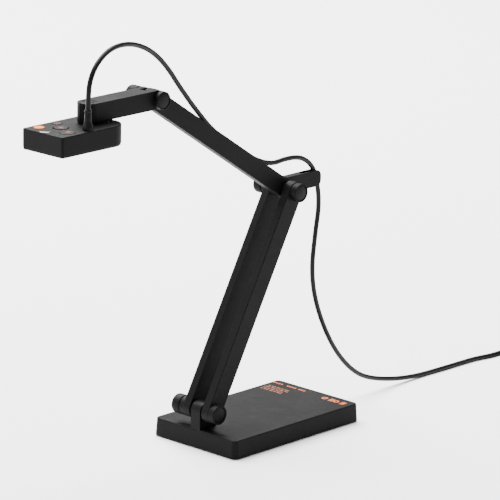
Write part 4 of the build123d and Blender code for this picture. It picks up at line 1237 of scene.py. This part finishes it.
@dataclass
class Plug:
    """The USB plug: a gripped body with a ribbed tail, a folded metal shell, tongue and contacts."""

    finishes: Finishes
    length: float = 0.022
    width: float = 0.0156
    height: float = 0.008
    tail: float = 0.008
    shell: Point = (0.012, 0.012, 0.0045)

    def origin(self) -> Vector:
        """Where the cord enters the plug's tail."""
        return Vector(END_ROUTE[-1])

    def body(self) -> bpy.types.Object:
        """The moulded body: a rounded block with sunk grips and a stepped tail.

        Returns:
            The piece, at its place.
        """
        piece = block("plug_grip", (self.length, self.width, self.height))
        with editing(piece):
            select_edges(piece, edge_runs((1, 0, 0)))
            bpy.ops.mesh.bevel(offset=0.0022, segments=4)
            select_faces(piece, face_points((1, 0, 0)))
            bpy.ops.mesh.inset(thickness=0.0012)
            for share, run in (
                (0.9, 0.0006), (0.62, 0.0), (1.0, 0.0014), (1.22, 0.0), (1.0, 0.0012), (0.8, 0.0),
                (1.0, 0.0014), (1.2, 0.0), (1.0, 0.0012), (0.74, 0.0), (0.9, 0.0016),
            ):
                bpy.ops.mesh.extrude_region_move(TRANSFORM_OT_translate={"value": (run, 0, 0)})
                bpy.ops.transform.resize(value=(1, share, share), center_override=(0, 0, 0))
            for side in (-1, 1):
                select_faces(piece, face_points((0, 0, side), 0.99))
                bpy.ops.mesh.inset(thickness=0.0026)
                bpy.ops.mesh.extrude_region_move(TRANSFORM_OT_translate={"value": (0, 0, -side * 0.0005)})
                bpy.ops.mesh.inset(thickness=0.0003)
        face_outwards(piece)
        soften(piece, 0.0003)
        end = self.origin() - Vector((self.tail + self.length / 2, 0, 0))
        settle(piece, Matrix.Translation(end))
        return mount(piece, Body.BASE, self.finishes.grip, Slot.JACKET, "plug_body")

    def front(self) -> list[bpy.types.Object]:
        """The metal shell with its two windows, the tongue and its four contacts.

        Returns:
            The pieces, at their places.
        """
        length, width, height = self.shell
        mouth = self.origin() - Vector((self.tail + self.length + length, 0, 0))
        centre = mouth + Vector((length / 2, 0, 0))
        shell = block("plug_metal", self.shell)
        with editing(shell):
            select_edges(shell, edge_runs((1, 0, 0)))
            bpy.ops.mesh.bevel(offset=0.0005, segments=3)
            select_faces(shell, face_points((-1, 0, 0)))
            bpy.ops.mesh.inset(thickness=0.0003)
            bpy.ops.mesh.extrude_region_move(TRANSFORM_OT_translate={"value": (length - 0.0006, 0, 0)})
        face_outwards(shell)
        for side in (-1, 1):
            cutter = block("window_cutter", (0.0022, 0.0022, 2 * height))
            settle(cutter, Matrix.Translation((0.0012, side * 0.0026, 0)))
            modify(shell, "BOOLEAN", object=cutter, operation="DIFFERENCE", solver="EXACT")
            bpy.data.objects.remove(cutter)
        soften(shell, 0.00008, 1, 50)
        settle(shell, Matrix.Translation(centre))
        mount(shell, Body.BASE, self.finishes.steel, Slot.STEEL, "plug_shell")
        tongue = block("plug_tongue", (length - 0.0012, width - 0.0010, 0.0017))
        soften(tongue, 0.0002)
        settle(tongue, Matrix.Translation(centre + Vector((0.0001, 0, 0.0010))))
        mount(tongue, Body.BASE, self.finishes.tongue, Slot.DIFFUSER)
        strips = []
        for row in (-0.0036, -0.0012, 0.0012, 0.0036):
            strip = block("contact", (0.0080, 0.0010, 0.0002))
            soften(strip, 0.00005, 1)
            settle(strip, Matrix.Translation(centre + Vector((-0.0006, row, 0.0001))))
            strips.append(strip)
        contacts = mount(join(strips, "plug_contacts"), Body.BASE, self.finishes.gold, Slot.STEEL)
        return [shell, tongue, contacts]

    def build(self) -> list[bpy.types.Object]:
        """Make the whole plug.

        Returns:
            Its pieces.
        """
        return [self.body(), *self.front()]


@dataclass
class CoilTie:
    """The hook-and-loop strap round one side of the coil, with its free tab."""

    finishes: Finishes
    angle: float = -150.0
    width: float = 0.009
    thickness: float = 0.0008
    ring: float = 0.0185

    def build(self) -> bpy.types.Object:
        """Make the strap.

        Returns:
            The piece, at its place.
        """
        centre = Coil().centre
        low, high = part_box("cord_tie")
        rise = high[2] - low[2]
        reach = 0.0175
        strap = block("coil_strap", (reach, self.width, rise))
        with editing(strap):
            select_faces(strap, lambda face: abs(face.normal.y) > 0.9)
            bpy.ops.mesh.delete(type="FACE")
            select_edges(strap, edge_runs((0, 1, 0)))
            bpy.ops.mesh.bevel(offset=0.0018, segments=5)
        modify(strap, "SOLIDIFY", thickness=self.thickness, offset=-1.0)
        soften(strap, 0.0002, 2, 60)
        tab = block("strap_tab", (0.0105, self.width * 0.98, 0.0007))
        with editing(tab):
            select_edges(tab, edge_runs((0, 0, 1)))
            bpy.ops.mesh.bevel(offset=0.0018, segments=4)
        soften(tab, 0.0002, 2, 60)
        settle(tab, Matrix.Translation((0.0028, 0, rise / 2 + 0.0003)))
        whole = join([strap, tab], "coil_strap")
        turn = math.radians(self.angle)
        at = Vector(
            (
                centre[0] + self.ring * math.cos(turn),
                centre[1] + self.ring * math.sin(turn),
                low[2] + rise / 2,
            )
        )
        settle(whole, pose(at, turn=self.angle))
        return mount(whole, Body.BASE, self.finishes.tape, Slot.TIE, "cord_tie")


# ---- the hinges' visible ends ---------------------------------------------------------------
@dataclass
class HingeTrim:
    """One hinge's visible ends: the sunk disc on the near side and the round cap on the far one."""

    prefix: str
    body: Body
    finishes: Finishes

    def disc(self) -> bpy.types.Object:
        """The sunk end disc: flat, with a fine groove just inside its edge.

        Returns:
            The piece, at its place.
        """
        low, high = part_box(self.prefix + "_end_disc")
        rise = high[1] - low[1]
        radius = (high[0] - low[0]) / 2 - 0.00004
        profile = (
            (radius, 0.0),
            (radius, rise - 0.0003),
            (radius - 0.00025, rise - 0.0003),
            (radius - 0.00035, rise - 0.00005),
            (radius - 0.0005, rise),
            (0.0002, rise),
        )
        piece = turned(self.prefix + "_disc", profile)
        soften(piece, 0.00006, 2, 30)
        at = middle(self.prefix + "_end_disc")
        settle(piece, pose(Vector((at.x, high[1], at.z)), (0, -1, 0)))
        return mount(piece, self.body, self.finishes.cover, Slot.COVER, self.prefix + "_end_disc")

    def cap(self) -> bpy.types.Object:
        """The far cap: a neck, a rounded drum, and a face with a shallow ring.

        Returns:
            The piece, at its place.
        """
        low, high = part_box(self.prefix + "_cap")
        radius, length = (high[0] - low[0]) / 2, high[1] - low[1]
        profile = (
            (0.0048, 0.0),
            (0.0048, 0.0006),
            (radius - 0.0003, 0.0006),
            (radius, 0.0009),
            (radius, length - 0.0011),
            (radius - 0.00018, length - 0.0005),
            (radius - 0.0006, length - 0.00012),
            (radius - 0.0011, length),
            (radius - 0.0019, length),
            (radius - 0.0020, length - 0.0002),
            (radius - 0.0023, length - 0.0002),
            (radius - 0.0024, length),
            (0.0002, length),
        )
        piece = turned(self.prefix + "_drum", profile)
        soften(piece, 0.00005, 1, 25)
        at = middle(self.prefix + "_cap")
        settle(piece, pose(Vector((at.x, low[1], at.z)), (0, 1, 0)))
        return mount(piece, self.body, self.finishes.shell, Slot.SHELL, self.prefix + "_cap")

    def build(self) -> None:
        """Make both ends."""
        self.disc()
        self.cap()


# ---- the head -------------------------------------------------------------------------------
@dataclass
class PushButton:
    """A round push button: a flange under the cover, a short stem and a dished top."""

    name: str
    radius: float
    material: bpy.types.Material
    slot: Slot
    shift: tuple[float, float] = (0.0, 0.0)
    dish: float = 0.00025

    def build(self) -> bpy.types.Object:
        """Make the button.

        Returns:
            The piece, at its place.
        """
        low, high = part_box(self.name)
        rise = high[2] - low[2]
        flange = (high[0] - low[0]) / 2
        radius = self.radius
        profile = (
            (flange, 0.0),
            (flange, 0.0005),
            (radius, 0.0005),
            (radius, rise - 0.0003),
            (radius - 0.00012, rise - 0.0001),
            (radius - 0.0004, rise),
            (radius * 0.72, rise - 0.4 * self.dish),
            (radius * 0.36, rise - 0.9 * self.dish),
            (0.0002, rise - self.dish),
        )
        piece = turned(self.name + "_top", profile)
        soften(piece, 0.00005, 1, 40)
        at = middle(self.name)
        settle(piece, Matrix.Translation((at.x + self.shift[0], at.y + self.shift[1], low[2])))
        return mount(piece, self.name, self.material, self.slot, self.name)


@dataclass
class HeadFittings:
    """What shows on the head: relief, swivel disc, buttons, lens ring."""

    finishes: Finishes

    def relief(self) -> bpy.types.Object:
        """The strain relief: a flared foot under a plain sleeve with one ring at its end.

        Returns:
            The piece, at its place.
        """
        low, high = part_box("cord_strain_relief")
        rise = high[2] - low[2]
        foot = rise - 0.0127
        profile = [
            (0.0033, 0.0),
            (0.0033, foot + 0.0004),
            (0.00345, foot + 0.0006),
            (0.0034, foot + 0.0012),
            (0.0031, foot + 0.0024),
            (0.00265, foot + 0.0040),
            (0.00235, foot + 0.0052),
        ]
        profile += [
            (0.0022, foot + 0.0060),
            (0.0022, rise - 0.0022),
            (0.00205, rise - 0.0020),
            (0.00205, rise - 0.0016),
            (0.0023, rise - 0.0014),
            (0.0023, rise - 0.0003),
            (0.0021, rise),
            (0.00175, rise),
        ]
        piece = turned("relief_sleeve", profile, 40)
        soften(piece, 0.00006, 1, 35)
        at = middle("cord_strain_relief")
        settle(piece, Matrix.Translation((at.x, at.y, low[2])))
        return mount(piece, Body.HEAD, self.finishes.jacket, Slot.JACKET, "cord_strain_relief")

    def swivel_disc(self) -> bpy.types.Object:
        """The disc that closes the swivel from above, with a sunk ring.

        Returns:
            The piece, at its place.
        """
        low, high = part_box("swivel_cover")
        rise = high[2] - low[2]
        radius = 0.00495
        profile = (
            (radius, 0.0),
            (radius, rise - 0.0002),
            (radius - 0.0002, rise),
            (radius - 0.0010, rise),
            (radius - 0.0011, rise - 0.0003),
            (radius - 0.0018, rise - 0.0003),
            (radius - 0.0019, rise),
            (0.0002, rise + 0.0001),
        )
        piece = turned("swivel_disc", profile)
        soften(piece, 0.00005, 1, 30)
        at = middle("swivel_cover")
        settle(piece, Matrix.Translation((at.x, at.y, low[2])))
        return mount(piece, Body.HEAD_ARM, self.finishes.cover, Slot.SHELL, "swivel_cover")

    def lens_ring(self) -> bpy.types.Object:
        """The thin ring round the lens window, on the underside.

        Returns:
            The piece, at its place.
        """
        at = middle("lens_window")
        low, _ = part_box("lens_window")
        profile = (
            (0.0066, 0.0),
            (0.0066, 0.00018),
            (0.0064, 0.0003),
            (0.0055, 0.0003),
            (0.0053, 0.0002),
            (0.0053, 0.00002),
            (0.0002, 0.00002),
        )
        ring = turned("lens_ring", profile)
        with editing(ring):
            select_faces(
                ring, lambda face: face.calc_center_median().xy.length < 0.0045 or len(face.verts) > 8
            )
            bpy.ops.mesh.delete(type="FACE")
            select_edges(ring, lambda edge: edge.is_boundary)
            bpy.ops.mesh.bridge_edge_loops()
        face_outwards(ring)
        soften(ring, 0.00005, 1, 30)
        settle(ring, pose(Vector((at.x, at.y, low[2] + 0.0001)), (0, 0, -1)))
        return mount(ring, Body.HEAD, self.finishes.cover, Slot.COVER)

    def buttons(self) -> None:
        """The four push buttons, each on its own body."""
        black = self.finishes.button
        for button in (
            PushButton("capture_button", 0.0033, self.finishes.orange, Slot.ORANGE, dish=-0.0002),
            PushButton("focus_button", 0.0033, black, Slot.SHELL),
            PushButton("exposure_button", 0.0045, black, Slot.SHELL, (0.0003, 0.0002)),
            PushButton("light_button", 0.0049, black, Slot.SHELL),
        ):
            button.build()

    def build(self) -> None:
        """Make every fitting."""
        self.relief()
        self.swivel_disc()
        self.lens_ring()
        self.buttons()


# ---- printed marks --------------------------------------------------------------------------
@dataclass
class Mark:
    """A flat printed mark: a rounded bar or a ring, a hair's breadth thick."""

    at: tuple[float, float]
    size: tuple[float, float]
    turn: float = 0.0
    ring: bool = False

    def build(self, height: float) -> bpy.types.Object:
        """Make the mark.

        Args:
            height: The height of the surface it is printed on.

        Returns:
            The mesh object, at its place.
        """
        length, width = self.size
        thickness = 0.00004
        if self.ring:
            piece = turned(
                "mark",
                ((length / 2, 0.0), (length / 2, thickness), (length / 2 - width, thickness)),
                24,
            )
            with editing(piece):
                select_faces(piece, lambda face: len(face.verts) > 4)
                bpy.ops.mesh.delete(type="FACE")
                select_edges(piece, lambda edge: edge.is_boundary)
                bpy.ops.mesh.bridge_edge_loops()
            face_outwards(piece)
        else:
            piece = block("mark", (length, width, thickness))
            with editing(piece):
                select_edges(piece, edge_runs((0, 0, 1)))
                bpy.ops.mesh.bevel(offset=min(length, width) * 0.4, segments=3)
            settle(piece, Matrix.Translation((0, 0, thickness / 2)))
        settle(piece, pose(Vector((*self.at, height + 0.00001)), turn=self.turn))
        return piece


@dataclass
class Prints:
    """The plain orange and white marks on the base and on the head."""

    finishes: Finishes

    def base_block(self) -> list[Mark]:
        """Rows of short dashes, in place of small print.

        Returns:
            The marks.
        """
        marks = []
        for row, x in enumerate((0.0368, 0.0394, 0.0420, 0.0446)):
            y = 0.0318
            for index in range(5):
                run = 0.0020 + 0.0011 * ((index * 2 + row) % 3)
                marks.append(Mark((x, y - run / 2), (0.0011, run)))
                y -= run + 0.0008
        return marks

    def base_row(self) -> list[Mark]:
        """Three groups of dashes along the far edge.

        Returns:
            The marks.
        """
        marks = []
        for start, count in ((0.0332, 4), (0.0212, 4), (0.0108, 3)):
            for index in range(count):
                marks.append(Mark((0.0521, start - index * 0.0022), (0.0017, 0.0015)))
        return marks

    def base_sign(self) -> list[Mark]:
        """A plain row of rings and bars, in place of the printed name.

        Returns:
            The marks.
        """
        marks = []
        for index in range(4):
            y = -0.0136 - index * 0.0050
            if index % 2:
                marks.append(Mark((0.0505, y), (0.0050, 0.0014)))
                marks.append(Mark((0.0505, y - 0.0018), (0.0050, 0.0014)))
            else:
                marks.append(Mark((0.0505, y), (0.0044, 0.0012), ring=True))
        return marks

    def icons(self) -> dict[str, list[Mark]]:
        """A plain icon for each black button.

        Returns:
            The marks for each button's body.
        """
        found: dict[str, list[Mark]] = {}
        at = middle("focus_button")
        corners = [(sx, sy) for sx in (-1, 1) for sy in (-1, 1)]
        found["focus_button"] = [
            Mark((at.x + sx * 0.0012, at.y + sy * 0.0008), (0.0003, 0.0008)) for sx, sy in corners
        ] + [Mark((at.x + sx * 0.0008, at.y + sy * 0.0012), (0.0008, 0.0003)) for sx, sy in corners]
        at = middle("exposure_button")
        rays = [math.radians(60 * index) for index in range(6)]
        found["exposure_button"] = [Mark((at.x, at.y), (0.0018, 0.0004), ring=True)] + [
            Mark(
                (at.x + 0.0015 * math.cos(ray), at.y + 0.0015 * math.sin(ray)),
                (0.0007, 0.0003),
                math.degrees(ray),
            )
            for ray in rays
        ]
        at = middle("light_button")
        found["light_button"] = [
            Mark((at.x + 0.0014, at.y), (0.0018, 0.0005), ring=True),
            Mark((at.x - 0.0002, at.y), (0.0004, 0.0010)),
            Mark((at.x - 0.0010, at.y), (0.0003, 0.0007)),
        ]
        return found

    def build(self) -> None:
        """Make every mark."""
        top = BaseSizes().top()
        for name, marks, ink in (
            ("base_small_print", self.base_block(), self.finishes.faint_ink),
            ("base_dashes", self.base_row(), self.finishes.ink),
            ("base_sign", self.base_sign(), self.finishes.ink),
        ):
            piece = join([mark.build(top) for mark in marks], name)
            mount(piece, Body.BASE, ink, Slot.ORANGE)
        for button, marks in self.icons().items():
            _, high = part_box(button)
            piece = join([mark.build(high[2] - 0.00018) for mark in marks], button + "_icon")
            mount(piece, button, self.finishes.ink, Slot.ORANGE)
        _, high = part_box("head_top_cover")
        bar = Mark((-0.1911, 0.0005), (0.0056, 0.0011), -60.0).build(high[2])
        bar.name = "head_white_bar"
        mount(bar, Body.HEAD, self.finishes.white_ink, Slot.DIFFUSER)
        dot = Mark((-0.1874, -0.0003), (0.0009, 0.0009)).build(high[2])
        dot.name = "head_orange_dot"
        mount(dot, Body.HEAD, self.finishes.ink, Slot.ORANGE)


@dataclass
class BaseSizes:
    """Heights of the base that other pieces stand on."""

    lug_height: float = 0.0177

    def top(self) -> float:
        """The height of the base's flat top: the shell's box less the lug."""
        _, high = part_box("base_shell")
        return high[2] - self.lug_height


# ---- the studio -----------------------------------------------------------------------------
@dataclass
class Studio:
    """A pale floor, soft light and the camera."""

    place: Point = (-1.64983, -1.53654, 0.73696)
    turn: Point = (1.303872, -0.016240, -0.813578)
    lens_mm: float = 261.16
    sensor_mm: float = 36.0

    def camera(self) -> None:
        """The camera, at the viewing angle of the picture."""
        lens = bpy.data.cameras.new("view")
        lens.lens = self.lens_mm
        lens.sensor_width = self.sensor_mm
        lens.clip_start = 0.05
        lens.clip_end = 50.0
        holder = bpy.data.objects.new("view", lens)
        holder.location = self.place
        holder.rotation_euler = self.turn
        bpy.context.collection.objects.link(holder)
        bpy.context.scene.camera = holder

    def floor(self) -> None:
        """A wide pale floor."""
        deselect_all()
        bpy.ops.mesh.primitive_plane_add(size=12)
        ground = bpy.context.active_object
        ground.name = "floor"
        material = bpy.data.materials.new("floor_white")
        material.use_nodes = True
        shader = next(node for node in material.node_tree.nodes if node.type == "BSDF_PRINCIPLED")
        shader.inputs["Base Color"].default_value = (0.93, 0.93, 0.93, 1)
        shader.inputs["Roughness"].default_value = 0.9
        paint(ground, material)

    @staticmethod
    def lamp(name: str, at: Point, aim: Point, size: float, watts: float) -> None:
        """A square soft light.

        Args:
            name: Its name.
            at: Where it hangs.
            aim: What it points at.
            size: Its side in metres.
            watts: Its power.
        """
        light = bpy.data.lights.new(name, "AREA")
        light.size = size
        light.energy = watts
        holder = bpy.data.objects.new(name, light)
        holder.location = at
        holder.rotation_euler = (Vector(aim) - Vector(at)).to_track_quat("-Z", "Y").to_euler()
        bpy.context.collection.objects.link(holder)

    def light(self) -> None:
        """White surroundings, a key from the left and a top light."""
        world = bpy.data.worlds.new("studio")
        world.use_nodes = True
        shade = next(node for node in world.node_tree.nodes if node.type == "BACKGROUND")
        shade.inputs["Color"].default_value = (1, 1, 1, 1)
        shade.inputs["Strength"].default_value = 0.55
        bpy.context.scene.world = world
        self.lamp("key", (-2.4, 0.9, 1.1), (-0.05, 0, 0.12), 1.4, 32.0)
        self.lamp("top", (0.5, 1.3, 2.6), (0.2, 0.3, 0.0), 3.0, 560.0)

    def build(self) -> None:
        """Set up the studio."""
        self.camera()
        self.floor()
        self.light()


def main() -> None:
    """Build the studio, the cord and every fitting, and dress the CAD nodes."""
    logging.basicConfig(level=logging.INFO, format="%(name)s: %(message)s")
    Studio().build()
    finishes = Finishes()
    finishes.dress()
    along = [*Plug(finishes).build(), CoilTie(finishes).build()]
    CordSet(finishes).build(along)
    for prefix, body in (
        ("base_hinge", Body.LOWER_ARM), ("elbow", Body.LOWER_ARM), ("wrist", Body.HEAD_ARM)
    ):
        HingeTrim(prefix, body, finishes).build()
    HeadFittings(finishes).build()
    Prints(finishes).build()


if __name__ == "__main__":
    main()
